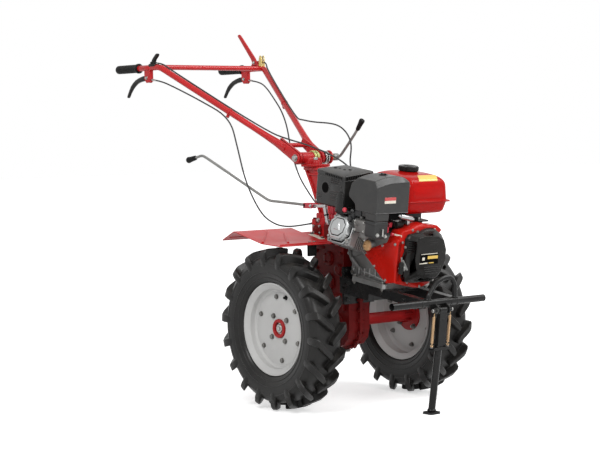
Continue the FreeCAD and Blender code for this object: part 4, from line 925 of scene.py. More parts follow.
# ---- gearbox and clutch -------------------------------------------------------------------------
def build_gearbox_details():
    bm = bmesh.new()
    for side in (-1, 1):
        lathe(bm, [(16.5, 58.5 * side), (31, 58.5 * side), (33, 60.5 * side), (33, 62.5 * side),
                   (30, 64.5 * side), (18.5, 64.5 * side), (16.5, 63.5 * side)], LEFT,
              (0, 0, TYRE_R), 48, closed=True)
        for x, z, r in ((-26, 452, 34), (-26, 540, 27), (30, 500, 22)):
            lathe(bm, [(0, 62 * side), (r, 62 * side), (r, 68 * side), (r - 3, 70 * side),
                       (r * 0.55, 70 * side), (r * 0.5, 68.5 * side), (0, 68.5 * side)], LEFT, (x, 0, z), 40)
        for x in (-46, 0, 46):
            slab(bm, [(x - 3.5, side * 49, 300 + abs(x)), (x + 3.5, side * 49, 300 + abs(x)),
                      (x + 3.5, side * 62, 389), (x - 3.5, side * 62, 389)], (0, side * 0.1, 0), 0)
            xz_slab(bm, [(x - 3.5, 345), (x + 3.5, 345), (x + 3.5, 392), (x - 3.5, 392)],
                    sorted((side * 49, side * 58)), 1.5)
        box(bm, (-104, side * 64 - 3, 398), (56, side * 64 + 3, 410), 2)
        box(bm, (-104, side * 64 - 3, 574), (-50, side * 64 + 3, 586), 2)
    lathe(bm, [(0, 0), (15, 0), (15, 7), (13, 9), (0, 9)], UP, (-96, -30, 594), 32)
    piece("Gearbox_covers", bm, "casting", rounding=0.8)

    bm = bmesh.new()
    across = sizes().engine_bolt / MM
    for side in (-1, 1):
        for a in (-168, -140, -115, -65, -40, -12):
            at = (78.8 * math.cos(math.radians(a)), 7 * side, 275 + 78.8 * math.sin(math.radians(a)))
            bolt(bm, at, (0, side, 0), across, *GEARBOX_BOLT)
        for x in (-79, 79):
            for z in (305, 345, 385):
                bolt(bm, (x, 7 * side, z), (0, side, 0), across, *GEARBOX_BOLT)
        for x, z in ((-94, 420), (-94, 500), (-94, 566), (46, 424), (46, 560), (46, 640), (-38, 600)):
            bolt(bm, (x, 64 * side, z), (0, side, 0), across, *GEARBOX_BOLT)
        for cx, cz, r in ((-26, 452, 27), (-26, 540, 20.5)):
            for x, z in ring_points(4, r, math.radians(45)):
                bolt(bm, (cx + x, 69.5 * side, cz + z), (0, side, 0), 9, 3.6, 6.4, 1.2)
        for x in (-126, -62):
            bolt(bm, (x, 48 * side, 684), UP, across, *GEARBOX_BOLT)
    piece("Gearbox_bolts", bm, "casting")

    bm = bmesh.new()
    bolt(bm, (0, 0, 190), DOWN, 19, 6, 13, 2.0)
    bolt(bm, (-96, -30, 602), UP, 14, 7, 10, 1.5)
    rod(bm, (-85, 0, 330), (-93, 0, 330), 9, 8)
    piece("Gearbox_plugs", bm, "dull_steel")

    bm = bmesh.new()
    box(bm, (-138.5, -34, 640), (-135, 34, 676), 1.2)
    for y, z in ((-45, 668), (45, 672)):
        rod(bm, (-141, y, z), (-136, y, z), 6.5, 8.5)
    rod(bm, (-98, -58, 690), (-98, -58, 672), 6, 8)
    box(bm, (-120, -64, 628), (-72, -57.5, 664), 2.0)
    piece("Shift_cover_plate", bm, "casting", rounding=0.8)
    bm = bmesh.new()
    for y in (-27, 27):
        for z in (646, 670):
            bolt(bm, (-138.5, y, z), BACK, *COVER_SCREW)
    for x in (-114, -78):
        for z in (633, 659):
            bolt(bm, (x, -64, z), RIGHT, *COVER_SCREW)
    piece("Shift_cover_bolts", bm, "zinc")

    bm = bmesh.new()
    for y, z in ring_points(10, 104.5, 0.31):
        bolt(bm, (97, CRANK.y + y, CRANK.z + z), BACK, across, 5.0, 7.6, 1.4)
    piece("Clutch_housing_bolts", bm, "zinc", engine=True)
    bm = bmesh.new()
    for y, z in ring_points(10, 1.0, 0.31 + math.pi / 10):
        slab(bm, [(97, CRANK.y + y * 96, CRANK.z + z * 96), (97, CRANK.y + y * 104, CRANK.z + z * 104),
                  (66, CRANK.y + y * 80, CRANK.z + z * 80), (66, CRANK.y + y * 72, CRANK.z + z * 72)],
             Vector((0, -z, y)) * 5)
    piece("Clutch_housing_ribs", bm, "dark_alloy", engine=True, rounding=1.0)


class TRACTOR_OT_gearbox_details(TractorOperator, bpy.types.Operator):
    """Bearing covers, ribs, plugs and bolts on the gearbox, the shift cover and the clutch housing"""
    bl_idname = "tractor.gearbox_details"
    bl_label = "Gearbox details"

    def execute(self, context):
        build_gearbox_details()
        return {"FINISHED"}


def build_hitch_details():
    bm = bmesh.new()
    for y in (-22, 22):
        for z in (318, 362):
            bolt(bm, (-97, y, z), BACK, 13, 5.5, 9, 1.6)
    piece("Hitch_bolts", bm, "zinc")
    bm = bmesh.new()
    for z in (384.0, 296.0):
        washer_ring(bm, (-137, 0, z), (0, 0, 1 if z > 340 else -1), 10.4, 17, 1.6)
    piece("Hitch_bushes", bm, "dull_steel")


class TRACTOR_OT_hitch_details(TractorOperator, bpy.types.Operator):
    """Bolts and bushes of the rear hitch"""
    bl_idname = "tractor.hitch_details"
    bl_label = "Hitch details"

    def execute(self, context):
        build_hitch_details()
        return {"FINISHED"}


# ---- engine ---------------------------------------------------------------------------------------
def build_crankcase_details():
    bm = bmesh.new()
    side = -71.0
    for x in (126, 156, 186, 216, 246):
        xz_slab(bm, [(x, 470), (x + 5, 470), (x + 5, 492 + (x - 126) * 0.15), (x, 492 + (x - 126) * 0.15)],
                (side - 9, side + 2), 1.2)
    xz_slab(bm, [(111, 520), (176, 478), (314, 466), (314, 476), (180, 489), (111, 533)],
            (side - 7, side + 1), 2.0)
    xz_slab(bm, [(114, 540), (128, 534), (186, 556), (186, 650), (176, 653), (114, 600)],
            (side - 8, side + 1), 2.5)
    rod(bm, (222, -70, 588), (222, -97, 592), 17, 15, 28, 1.5)
    rod(bm, (296, -68, 492), (296, -84, 492), 12, 12, 24, 1.5)
    for x in (125, 308):
        for z in (476, 640):
            rod(bm, (x, side + 2, z), (x, side - 8, z), 8, 7, 20)
    for x in (140, 180, 220, 260, 300):
        xz_slab(bm, [(x - 3, 464), (x + 3, 464), (x + 3, 640), (x - 3, 640)], (117, 124), 1.2)
    box(bm, (150, 118, 520), (290, 125, 620), 5)
    piece("Crankcase_ribs", bm, "alloy", engine=True, rounding=0.8)
    bm = bmesh.new()
    lathe(bm, [(0, -113), (9, -113), (18, -110), (20, -107), (20, -99), (17, -97), (0, -97)], LEFT,
          (222, 0, 592), 12)
    box(bm, (216, -119, 588), (228, -110, 596), 1.5)
    piece("Oil_plug", bm, "plug", engine=True, rounding=0.8)
    bm = bmesh.new()
    across = sizes().engine_bolt / MM
    for x, z in ((125, 476), (308, 476), (125, 640), (118, 560), (180, 640)):
        bolt(bm, (x, side - 8, z), RIGHT, across, *CASE_BOLT)
    bolt(bm, (296, -84, 492), RIGHT, 14, 5, 10, 1.6)
    for x in (146, 300):
        for y in (-84, 132):
            bolt(bm, (x, y, 463), UP, 13, 6, 9.5, 1.8)
            bolt(bm, (x, y, 446), DOWN, 13, 6, 9.5, 1.8, thread=4.5)
    for x, z in ((158, 530), (282, 530), (158, 610), (282, 610)):
        bolt(bm, (x, 125, z), LEFT, across, *CASE_BOLT)
    piece("Crankcase_bolts", bm, "bolt_steel", engine=True)


class TRACTOR_OT_crankcase_details(TractorOperator, bpy.types.Operator):
    """Ribs, oil plug, drain bolt and cover bolts of the crankcase"""
    bl_idname = "tractor.crankcase_details"
    bl_label = "Crankcase details"

    def execute(self, context):
        build_crankcase_details()
        return {"FINISHED"}


def build_cylinder_details():
    bm = bmesh.new()
    for x in (-50, 50):
        for y in (-44, 44):
            rod(bm, (x, y, 172), (x, y, 202), 8.5, 8.0, 20)
            bolt(bm, (x, y, 202), UP, 12, 6, 8.5, 1.6)
    piece("Head_studs", bm, "alloy", matrix=ON_CYLINDER)
    bm = bmesh.new()
    rod(bm, (-62, 6, 186), (-74, 8, 186), 7, 6, 6)
    rod(bm, (-74, 8, 186), (-86, 10, 187), 4.5)
    piece("Spark_plug", bm, "bright_alloy", matrix=ON_CYLINDER)
    bm = bmesh.new()
    swept(bm, [(-72, 8, 186), (-92, 12, 187), (-98, 16, 180), (-100, 34, 160)], 7.5, 5)
    swept(bm, [(-100, 34, 158), (-102, 60, 140), (-84, 76, 96), (-30, 84, 70), (40, 84, 60),
               (120, 80, 40), (160, 60, 20)], 3.4, 4)
    piece("Spark_lead", bm, "cable_skin", matrix=ON_CYLINDER)


class TRACTOR_OT_cylinder_details(TractorOperator, bpy.types.Operator):
    """Head studs, spark plug and its lead"""
    bl_idname = "tractor.cylinder_details"
    bl_label = "Cylinder details"

    def execute(self, context):
        build_cylinder_details()
        return {"FINISHED"}


def build_rocker_cover():
    foot = 202.5
    fx, fv, nx, nv = 62.0, 56.0, 31.0, 25.2
    ring = [(fx, nv), (nx, fv), (-nx, fv), (-fx, nv), (-fx, -nv), (-nx, -fv), (nx, -fv), (fx, -nv)]

    def level(scale, rise, outline=ring):
        return [(x * scale, y * scale, foot + rise) for x, y in outline]

    bm = bmesh.new()
    stacked(bm, [level(0.997, 0), level(1.0, 1), level(1.0, 6.5), level(0.98, 8)], 4.0, 2, 0.6)
    stacked(bm, [level(0.87, 6), level(0.865, 9), level(0.82, 20), level(0.78, 23.5), level(0.70, 25.6),
                 level(0.64, 26)], 2.2, 2, 0.35)
    stacked(bm, [level(0.56, 25), level(0.55, 27.4), level(0.53, 28.2)], 0.9, 1, 0.35)
    crest = [(-17, -12), (17, -12), (3, 19), (-3, 19)]
    stacked(bm, [level(1, 27.5, crest), level(0.8, 29.8, crest)], 0.8, 1, 0.35)
    crest = [(-7, -7), (7, -7), (0, 8)]
    stacked(bm, [level(1, 29, crest), level(0.7, 30, crest)])
    piece("Rocker_cover", bm, "bright_alloy", ["rocker_cover"], smooth=24, matrix=ON_CYLINDER)
    bm = bmesh.new()
    for x, y in ((46.5, 34), (-46.5, 34), (46.5, -34), (-46.5, -34)):
        bolt(bm, (x * 1.06, y * 1.1, foot + 7.6), UP, 9, 5, 6.5, 1.2)
    piece("Rocker_cover_bolts", bm, "zinc", matrix=ON_CYLINDER)
    # Near-black bands paint the shade of the groove between rim and raised middle, and round the middle's
    # crest.
    bm = bmesh.new()
    stacked(bm, [level(0.94, 7), level(0.94, 8.4)])
    stacked(bm, [level(0.60, 25), level(0.60, 26.3)])
    piece("Rocker_groove_painted_shade", bm, "dark", matrix=ON_CYLINDER)
    bm = bmesh.new()
    washer_ring(bm, (0, 0, foot - 1.0), UP, 20, 50, 1.2, 32)
    swept(bm, [(-18, 46, foot + 10), (-26, 60, foot + 14), (-20, 84, foot - 6), (6, 96, foot - 46),
               (20, 104, foot - 70)], 5.5, 5)
    piece("Breather_hose", bm, "grip_rubber", matrix=ON_CYLINDER)


class TRACTOR_OT_rocker_cover(TractorOperator, bpy.types.Operator):
    """Bright octagonal rocker cover with its raised middle and rim"""
    bl_idname = "tractor.rocker_cover"
    bl_label = "Rocker cover"

    def execute(self, context):
        build_rocker_cover()
        return {"FINISHED"}


def build_fan_shroud():
    centre = (0, CRANK.y, CRANK.z)
    bm = bmesh.new()
    lathe(bm, [(0, 317.2), (116, 317.2), (118, 319), (118, 362), (116.5, 369), (112, 374.5), (105, 377),
               (0, 377.6)], FRONT, centre, 96)
    xz_slab(bm, [(187, 563), (312, 617), (340, 628), (366, 640), (377, 636), (377, 482), (328, 470),
                 (296, 489), (240, 529)], (-97, -71.4), 5.0, 3)
    yz_slab(bm, [(-96, 480), (-96, 620), (-74, 667), (14, 682.5), (92, 682.5), (118, 664), (24, 572),
                 (-34, 464)], (317.4, 377), 5.0, 3)
    xz_slab(bm, [(212, 566), (306, 607), (306, 592), (236, 541)], (-98.4, -95), 2.0)
    piece("Fan_shroud", bm, "shroud", ["fan_shroud"], engine=True, smooth=38)
    bm = bmesh.new()
    for x, z in ((204, 561), (300, 604), (326, 482), (366, 620), (262, 522)):
        bolt(bm, (x, -97, z), RIGHT, 8, 3.4, 5.6, 1.0)
    for degrees in (200, 236, 270, 305, 340, 20, 60, 118, 150):
        a = math.radians(degrees)
        bolt(bm, (376.5, CRANK.y + 110.5 * math.cos(a), CRANK.z + 110.5 * math.sin(a)), FRONT,
             7.5, 3.0, 5.0, 1.0)
    piece("Shroud_bolts", bm, "dull_steel", engine=True)


class TRACTOR_OT_fan_shroud(TractorOperator, bpy.types.Operator):
    """Glossy red fan shroud with its side plate, top shelf and bolts"""
    bl_idname = "tractor.fan_shroud"
    bl_label = "Fan shroud"

    def execute(self, context):
        build_fan_shroud()
        return {"FINISHED"}


STARTER_BACK = (
    (-73, 502), (-73, 574), (-64, 596), (-64, 640), (-52, 656), (-4, 663), (30, 675), (64, 675),
    (96, 655), (114, 622), (114, 540), (98, 498), (60, 479), (-30, 479), (-64, 486))
STARTER_FACE = (
    (-40, 540), (-41, 580), (-39, 604), (-38, 634), (-30, 648), (-4, 653), (30, 653), (62, 650),
    (90, 634), (104, 600), (103, 556), (88, 524), (60, 500), (8, 500), (-26, 516))


def starter_level(share, x):
    """Outline between the back edge and the front face, at a place along the shaft."""
    return [(x, a + (c - a) * share, b + (d - b) * share)
            for (a, b), (c, d) in zip(STARTER_BACK, STARTER_FACE)]


def build_recoil_starter():
    bm = bmesh.new()
    steps = ((0.02, 378.2), (0, 379.5), (0.02, 386), (0.12, 397), (0.90, 416.5), (1.0, 419.5), (1.10, 420.6))
    stacked(bm, [starter_level(share, x) for share, x in steps], 2.5, 2, 0.40)
    for z in (538, 530, 522, 514):
        half = 44 if z > 524 else 38
        box(bm, (415.5, 44 - half, z), (421.6, 40 + half, z + 3.0), 0.8, 1)
    for z in (636, 628, 620):
        box(bm, (415.5, 18, z), (421.3, 66, z + 2.6), 0.8, 1)
    piece("Starter_cover", bm, "cover_plastic", ["recoil_starter"], engine=True, smooth=32)
    # Near-black slabs paint the shade inside the side slots and the recess on the starter's side facet.
    bm = bmesh.new()
    for i in range(6):
        z = 636 - i * 8.0
        slab(bm, [(399.0, -60.5, z), (414.5, -44.5, z), (414.5, -44.5, z - 3.4), (399.0, -60.5, z - 3.4)],
             (-1.0, -1.1, 0))
    slab(bm, [(390, -69.5, 566), (402, -57.5, 568), (404, -55.5, 546), (400, -58.5, 520), (390, -69.5, 514)],
         (-1.4, -1.8, 0))
    piece("Starter_slots_painted_shade", bm, "dark", engine=True)
    bm = bmesh.new()
    yz_slab(bm, [(-22, 551), (66, 551), (66, 592), (-22, 592)], (420.2, 421.0), 0.3, 1)
    piece("Starter_plate", bm, "dark", engine=True)
    bm = bmesh.new()
    yz_slab(bm, [(14, 570), (64, 570), (64, 581), (14, 581)], (421.0, 421.4), 0)
    yz_slab(bm, [(20, 554), (46, 554), (46, 557.5), (20, 557.5)], (421.0, 421.4), 0)
    piece("Starter_plate_stripe", bm, "yellow_plate", engine=True)
    bm = bmesh.new()
    yz_slab(bm, [(-18, 587), (62, 588), (62, 590.5), (-18, 589.5)], (421.0, 421.4), 0)
    yz_slab(bm, [(-12, 566), (0, 566), (0, 577), (-12, 577)], (421.0, 421.4), 0)
    yz_slab(bm, [(-24, 553), (14, 553), (14, 558), (-24, 556)], (421.0, 421.4), 0)
    piece("Starter_plate_marks", bm, "plate", engine=True)
    bm = bmesh.new()
    x, y = 392.0, -85.0
    lathe(bm, [(0, -22.5), (5.5, -22.3), (8.2, -20), (9.2, -12), (8.6, -4), (7.6, 0), (8.6, 4), (9.2, 12),
               (8.2, 20), (5.5, 22.3), (0, 22.5)], UP, (x, y, 537.5), 28)
    rod(bm, (x, y, 537.5), (x + 1, -72, 537.5), 5.2, 6.5, 20, 0.8)
    for z in (526, 531, 544, 549):
        washer_ring(bm, (x, y, z), UP, 7, 9.6, 1.6, 24)
    piece("Starter_handle", bm, "cover_plastic", ["recoil_handle"], engine=True)
    bm = bmesh.new()
    lathe(bm, [(4.4, 0), (10.5, 0), (11.5, 2.0), (9.0, 6.5), (6.0, 7.2), (4.4, 6.6)], UP, steps=24,
          closed=True)
    placed(bm, list(bm.verts), (393, -72.5, 537.5), RIGHT)
    slab(bm, [(388, -77, 566), (393, -75, 568), (408, -63.5, 532), (403, -66.5, 530)],
         (-1.0, -2.0, 0), 0.6, 1)
    slab(bm, [(380, -77.5, 574), (386, -76.5, 576), (393, -77, 548), (387, -78, 546)],
         (-0.8, -1.6, 0), 0.6, 1)
    piece("Rope_guide", bm, "rod_steel", engine=True)
    bm = bmesh.new()
    for i in (0, 1, 2, 3, 6, 7):
        a = (i + 0.5) * math.pi / 4
        bolt(bm, (388, CRANK.y + 99 * math.cos(a), 574 + 99 * math.sin(a)),
             (1, 0.25 * math.cos(a), 0.25 * math.sin(a)), 8, 2.6, 5.2, 1.2)
    piece("Starter_bolts", bm, "bolt_steel", engine=True)
    bm = bmesh.new()
    slab(bm, [(344, -83.8, 648.5), (378, -79.2, 647), (378, -79.2, 654), (344, -83.8, 655)], (-0.1, -0.9, 0))
    piece("Shroud_plate", bm, "plate", engine=True)


class TRACTOR_OT_recoil_starter(TractorOperator, bpy.types.Operator):
    """Black faceted starter cover with louvres, painted shade in its side slots, blank plates, pull handle
    and rope guide
    """
    bl_idname = "tractor.recoil_starter"
    bl_label = "Recoil starter"

    def execute(self, context):
        build_recoil_starter()
        return {"FINISHED"}


MUFFLER_LOW, MUFFLER_HIGH, LID_FOLD_Z = Vector((4, -185)), Vector((165, -42)), 820


def tilt_lid(bm):
    """Seat the lid askew: lower at its right front corner and higher along its left side."""
    for v in bm.verts:
        if v.co.z > LID_FOLD_Z:
            share = min(1.0, (v.co.z - LID_FOLD_Z) / 10)
            along = (v.co.x - MUFFLER_LOW.x) / (MUFFLER_HIGH.x - MUFFLER_LOW.x)
            across = (v.co.y - MUFFLER_LOW.y) / (MUFFLER_HIGH.y - MUFFLER_LOW.y)
            v.co.z += share * (8 * across - 9 * along * (1 - across))


def build_muffler():
    bm = bmesh.new()

    def level(inset, z, r):
        inwards = Vector((inset, inset))
        return [(x, y, z) for x, y in rounded_outline(MUFFLER_LOW + inwards, MUFFLER_HIGH - inwards, r, 4)]

    stacked(bm, [level(10, 717, 6), level(3.5, 719.5, 9), level(1.2, 724, 10), level(1.2, 824, 10),
                 level(2.6, 827, 9), level(2.6, 832, 9)])
    stacked(bm, [level(2.4, 831, 9), level(0, 832, 10), level(0, 844.5, 10), level(0.8, 846, 9.5),
                 level(2.4, 846.8, 9), level(10, 849.6, 9), level(22, 852.6, 9), level(38, 854.6, 8),
                 level(54, 855.2, 6)])
    for z in (744, 752, 760, 768, 808, 816):
        box(bm, (92, -186, z), (152, -183, z + 2.6), 1.2, 1)
    for z in (738, 746, 754, 762):
        box(bm, (18, -186, z), (40, -183, z + 2.6), 1.2, 1)
    xz_slab(bm, [(92, 776), (150, 776), (150, 800), (92, 800)], (-186.0, -183), 1.4)
    lathe(bm, [(19, 0), (24, 0), (24.6, 1.4), (23.5, 3.0), (19.6, 3.6), (19, 2.6)], UP, steps=40,
          closed=True)
    tilt_lid(bm)
    ring = [v for v in bm.verts if abs(v.co.x) < 30 and abs(v.co.y) < 30 and -1 < v.co.z < 5]
    placed(bm, ring, (61, -181.2, 784), RIGHT)
    piece("Muffler", bm, "muffler_black", ["muffler"], engine=True, smooth=30)
    # Near-black marks paint the shade inside the outlet, the slots along the lid, the perforation rows and
    # the small lid recesses.
    bm = bmesh.new()
    lathe(bm, [(0, 0), (19.5, 0), (19.5, 1.6), (0, 1.6)], UP, steps=32)
    placed(bm, list(bm.verts), (61, -183.0, 784), RIGHT)
    for i in range(10):
        box(bm, (58 + i * 10, -185.5, 834), (63.5 + i * 10, -180, 842))
    for i in range(12):
        box(bm, (160, -174 + i * 10.5, 834), (165.5, -168.5 + i * 10.5, 842))
    for count, x, z, rise, width, height in ((5, 96, 744, 8, 6, 2.2), (4, 92, 806, 6, 5, 2)):
        for row in range(count):
            for i in range(count):
                box(bm, (x + i * 12, -184.3, z + row * rise),
                    (x + width + i * 12, -180, z + height + row * rise))
    for x, y, size in ((60, -140, 7), (74, -132, 5), (118, -120, 6), (106, -136, 5)):
        lathe(bm, [(0, 851), (size, 851), (size, 855.6), (0, 855.6)], UP, (x, y, 0), 20)
    tilt_lid(bm)
    piece("Muffler_openings_painted_shade", bm, "dark", engine=True)
    bm = bmesh.new()
    for x, y in ((20, -168), (149, -168), (20, -60), (149, -60)):
        screw(bm, (x, y, 846.4), UP, 5.0, 2.4)
    tilt_lid(bm)
    for x, z in ((14, 730), (154, 730)):
        screw(bm, (x, -184.6, z), RIGHT, 4.6, 2.2)
    for x in (90, 134):
        bolt(bm, (x, -112, 709), DOWN, 11, 5, 7.5, 1.4)
    piece("Muffler_screws", bm, "dull_steel", engine=True)
    bm = bmesh.new()
    xz_slab(bm, [(108, 690), (242, 690), (242, 752), (206, 752), (168, 740), (108, 722)], (-88, -86), 0.8, 1)
    box(bm, (108, -88, 714), (240, -60, 716.6), 0.8, 1)
    xz_slab(bm, [(132, 705), (172, 705), (174, 760), (167, 775), (153, 781), (139, 775), (132, 760)],
            (-191.5, -185.5), 2.4, 2, 0.6)
    box(bm, (134, -187, 700), (170, -150, 706), 1.5, 1)
    piece("Heat_shield", bm, "black", engine=True)


class TRACTOR_OT_muffler(TractorOperator, bpy.types.Operator):
    """Boxed muffler with a folded lid, pressed lines, outlet flange and heat shield, with the shade in its
    slots, perforations and outlet painted near-black
    """
    bl_idname = "tractor.muffler"
    bl_label = "Muffler"

    def execute(self, context):
        build_muffler()
        return {"FINISHED"}


def build_air_cleaner():
    bm = bmesh.new()
    side = [(236, 729), (349, 729), (349, 821), (334, 845), (240, 845), (206, 820), (194.6, 781),
            (198, 771), (230, 751), (234, 742)]
    xz_slab(bm, side, (-185, -31))
    for y in (-174, -162, -148, -132, -116, -100, -84, -70, -57, -46, -37):
        bmesh.ops.bisect_plane(bm, geom=[*bm.verts, *bm.edges, *bm.faces], plane_co=(0, y, 0),
                               plane_no=(0, 1, 0))
    for v in bm.verts:
        if v.co.z > 815:
            near = math.sin(math.pi / 2 * min(1.0, (v.co.y + 185) / 85))
            far = max(0.0, (v.co.y + 100) / 69)
            on_front = v.co.x > 340
            v.co.z += 15.5 * near + (2.5 * far if on_front else -15 * far ** 3.2)
    bevelled(bm, list(bm.verts), 1.8, 1, 0.35)
    box(bm, (238, -186.0, 729), (350.2, -30.0, 731.6), 1.2, 1)
    box(bm, (292, -184, 700.5), (348.4, -120, 730), 4.0, 2)
    box(bm, (240, -156, 704), (336, -34, 730), 3.0, 2)
    piece("Air_cleaner", bm, "cleaner_plastic", ["air_cleaner"], engine=True, smooth=12)
    # Near-black disc and strip paint the shade round the wing nut and under the box's overhanging front.
    bm = bmesh.new()
    lathe(bm, [(0, -4), (15, -4), (15, 0.3), (0, 0.3)], UP, (286, -106, 860.4), 32)
    box(bm, (337, -117, 704), (341, -33, 728.6), 1, 1)
    piece("Air_cleaner_painted_shade", bm, "dark", engine=True)
    bm = bmesh.new()
    lathe(bm, [(14, 0), (17, 0), (17.4, 0.5), (16.6, 1.2), (14.8, 1.2)], UP, (286, -106, 860.2), 32,
          closed=True)
    rod(bm, (286, -106, 859), (286, -106, 865.4), 5.0, 4.2, 16)
    for lean in (-1, 1):
        xz_slab(bm, [(286 + lean * 2, 860), (286 + lean * 12, 861), (286 + lean * 13, 866.4),
                     (286 + lean * 9, 866.4)], (-108, -104), 0.5, 1)
    piece("Wing_nut", bm, "plastic", engine=True)
    bm = bmesh.new()
    yz_slab(bm, [(-147, 766), (-94, 766), (-94, 776), (-147, 776)], (348.4, 349.5), 0)
    piece("Air_cleaner_plate_low", bm, "plate", engine=True)
    bm = bmesh.new()
    yz_slab(bm, [(-147, 776), (-94, 776), (-94, 788), (-147, 788)], (348.4, 349.5), 0)
    piece("Air_cleaner_plate_high", bm, "red_plate", engine=True)


class TRACTOR_OT_air_cleaner(TractorOperator, bpy.types.Operator):
    """Moulded air-cleaner box with a crowned lid, its wing nut and blank plates"""
    bl_idname = "tractor.air_cleaner"
    bl_label = "Air cleaner"

    def execute(self, context):
        build_air_cleaner()
        return {"FINISHED"}


def build_intake():
    bm = bmesh.new()
    yz_slab(bm, [(-183, 645), (-174, 637), (-121, 637), (-121, 702), (-183, 702)], (290, 348.6), 6.0, 3)
    box(bm, (286, -184, 688), (349, -120, 693), 1.5, 1)
    rod(bm, (152, -150, 668), (296, -150, 668), 20.5, 20.5, 32)
    piece("Intake_elbow", bm, "plastic", ["intake_duct"], engine=True, smooth=36)
    bm = bmesh.new()
    box(bm, (226, -176, 648), (286, -124, 694), 5, 2)
    rod(bm, (258, -150, 652), (258, -150, 628), 22, 20, 32, 1.5)
    rod(bm, (258, -150, 630), (258, -150, 622), 9, 9, 24, 1)
    rod(bm, (284, -150, 668), (291, -150, 668), 27, 27, 32, 1)
    rod(bm, (236, -150, 694), (236, -150, 704), 8, 7, 20, 1)
    rod(bm, (246, -176, 676), (246, -190, 676), 4, 4, 12)
    for x, y in ((216, -122), (230, -120), (208, -128)):
        rod(bm, (x, y, 640), (x, y, 700), 2.6, 2.6, 10)
    piece("Carburettor", bm, "dark_alloy", engine=True, rounding=0.6)
    bm = bmesh.new()
    bolt(bm, (349, -172, 654), FRONT, *ELBOW_BOLT)
    bolt(bm, (349, -134, 648), FRONT, *ELBOW_BOLT)
    rod(bm, (349, -152, 668), (356, -152, 668), 3.4, 3.2, 12)
    rod(bm, (356, -152, 650), (356, -152, 676), 3.6, 3.0, 12)
    bolt(bm, (258, -150, 622), DOWN, 10, 4, 6, 1.2)
    for x, z in ((232, 656), (232, 688), (280, 656), (280, 688)):
        bolt(bm, (x, -176, z), RIGHT, 7, 3.6, 5, 1.0)
    swept(bm, [(246, -186, 676), (232, -188, 684), (214, -150, 700), (212, -112, 702), (240, -90, 704)],
          1.2, 3)
    piece("Carburettor_hardware", bm, "zinc", engine=True)
    bm = bmesh.new()
    bmesh.ops.create_uvsphere(bm, u_segments=20, v_segments=12, radius=8.5)
    bmesh.ops.scale(bm, vec=(1, 1, 1.1), verts=bm.verts)
    bmesh.ops.translate(bm, vec=(181, -187, 720), verts=bm.verts)
    piece("Choke_knob", bm, "red_knob", engine=True)
    bm = bmesh.new()
    swept(bm, [(262, -128, 660), (262, -108, 664), (240, -92, 690), (214, -84, 706), (190, -60, 712)],
          4.4, 5)
    swept(bm, [(286, -60, 712), (290, -74, 696), (270, -96, 684), (262, -126, 676)], 4.0, 5)
    box(bm, (176, -164, 672), (206, -128, 712), 4, 2)
    rod(bm, (181, -184, 719), (194, -158, 704), 3.0, 3.6, 12)
    box(bm, (204, -158, 700), (238, -148, 728), 2, 1)
    rod(bm, (196, -176, 690), (196, -160, 690), 9, 8, 20, 1)
    rod(bm, (168, -150, 700), (182, -150, 716), 6, 7, 16)
    piece("Fuel_hoses", bm, "cable_skin", engine=True)
    bm = bmesh.new()
    start, end = Vector((344, -62, 717)), Vector((349, -10, 705))
    rod(bm, start, end, 8.5, 10.0, 28, 1.5)
    rod(bm, start, start + (start - end).normalized() * 10, 5, 4, 16)
    rod(bm, end, end + (end - start).normalized() * 7, 7.5, 5.5, 20)
    box(bm, (330, -26, 684), (345, -14, 708), 1.5, 1)
    piece("Governor_damper", bm, "bright_alloy", engine=True)
    bm = bmesh.new()
    box(bm, (236, -70, 655), (316, 10, 662), 1.5, 1)
    box(bm, (262, -66, 662), (296, -34, 690), 3, 2)
    rod(bm, (330, -70, 684), (330, -40, 684), 12, 12, 24, 1.5)
    box(bm, (262, -36, 684), (330, 62, 690), 2, 1)
    rod(bm, (312, 24, 690), (312, 24, 702), 10, 9, 20, 1.5)
    box(bm, (300, 34, 690), (338, 84, 696), 2, 1)
    piece("Throttle_plate", bm, "cover_plastic", engine=True)
    bm = bmesh.new()
    swept(bm, [(312, 24, 700), (308, 4, 704), (302, -22, 706), (290, -50, 702), (268, -84, 700)], 1.3, 3)
    rod(bm, (320, 50, 696), (320, 50, 704), 4.5, 4.0, 6)
    rod(bm, (312, -48, 694), (312, -48, 701), 4.0, 4.0, 6)
    rod(bm, (240, -60, 662), (240, -60, 704), 2.6, 2.6, 10)
    turns = []
    for i in range(8 * 11 + 1):
        a = i * math.pi / 4
        turns.append((300 + i * 0.42, -66 + 4.6 * math.cos(a), 700 + 4.6 * math.sin(a)))
    swept(bm, turns, 0.7, 2)
    piece("Governor_rods", bm, "zinc", engine=True)
    bm = bmesh.new()
    box(bm, (296, -84, 672), (314, -70, 690), 2, 1)
    rod(bm, (340, -96.5, 652), (340, -88, 652), 6, 6, 16)
    box(bm, (316, -104, 655), (326, -96, 676), 1.5, 1)
    piece("Stop_switch", bm, "red_knob", engine=True)


class TRACTOR_OT_intake(TractorOperator, bpy.types.Operator):
    """Intake elbow, carburettor, its linkage, hoses, governor parts and stop switch"""
    bl_idname = "tractor.intake"
    bl_label = "Intake and governor"

    def execute(self, context):
        build_intake()
        return {"FINISHED"}


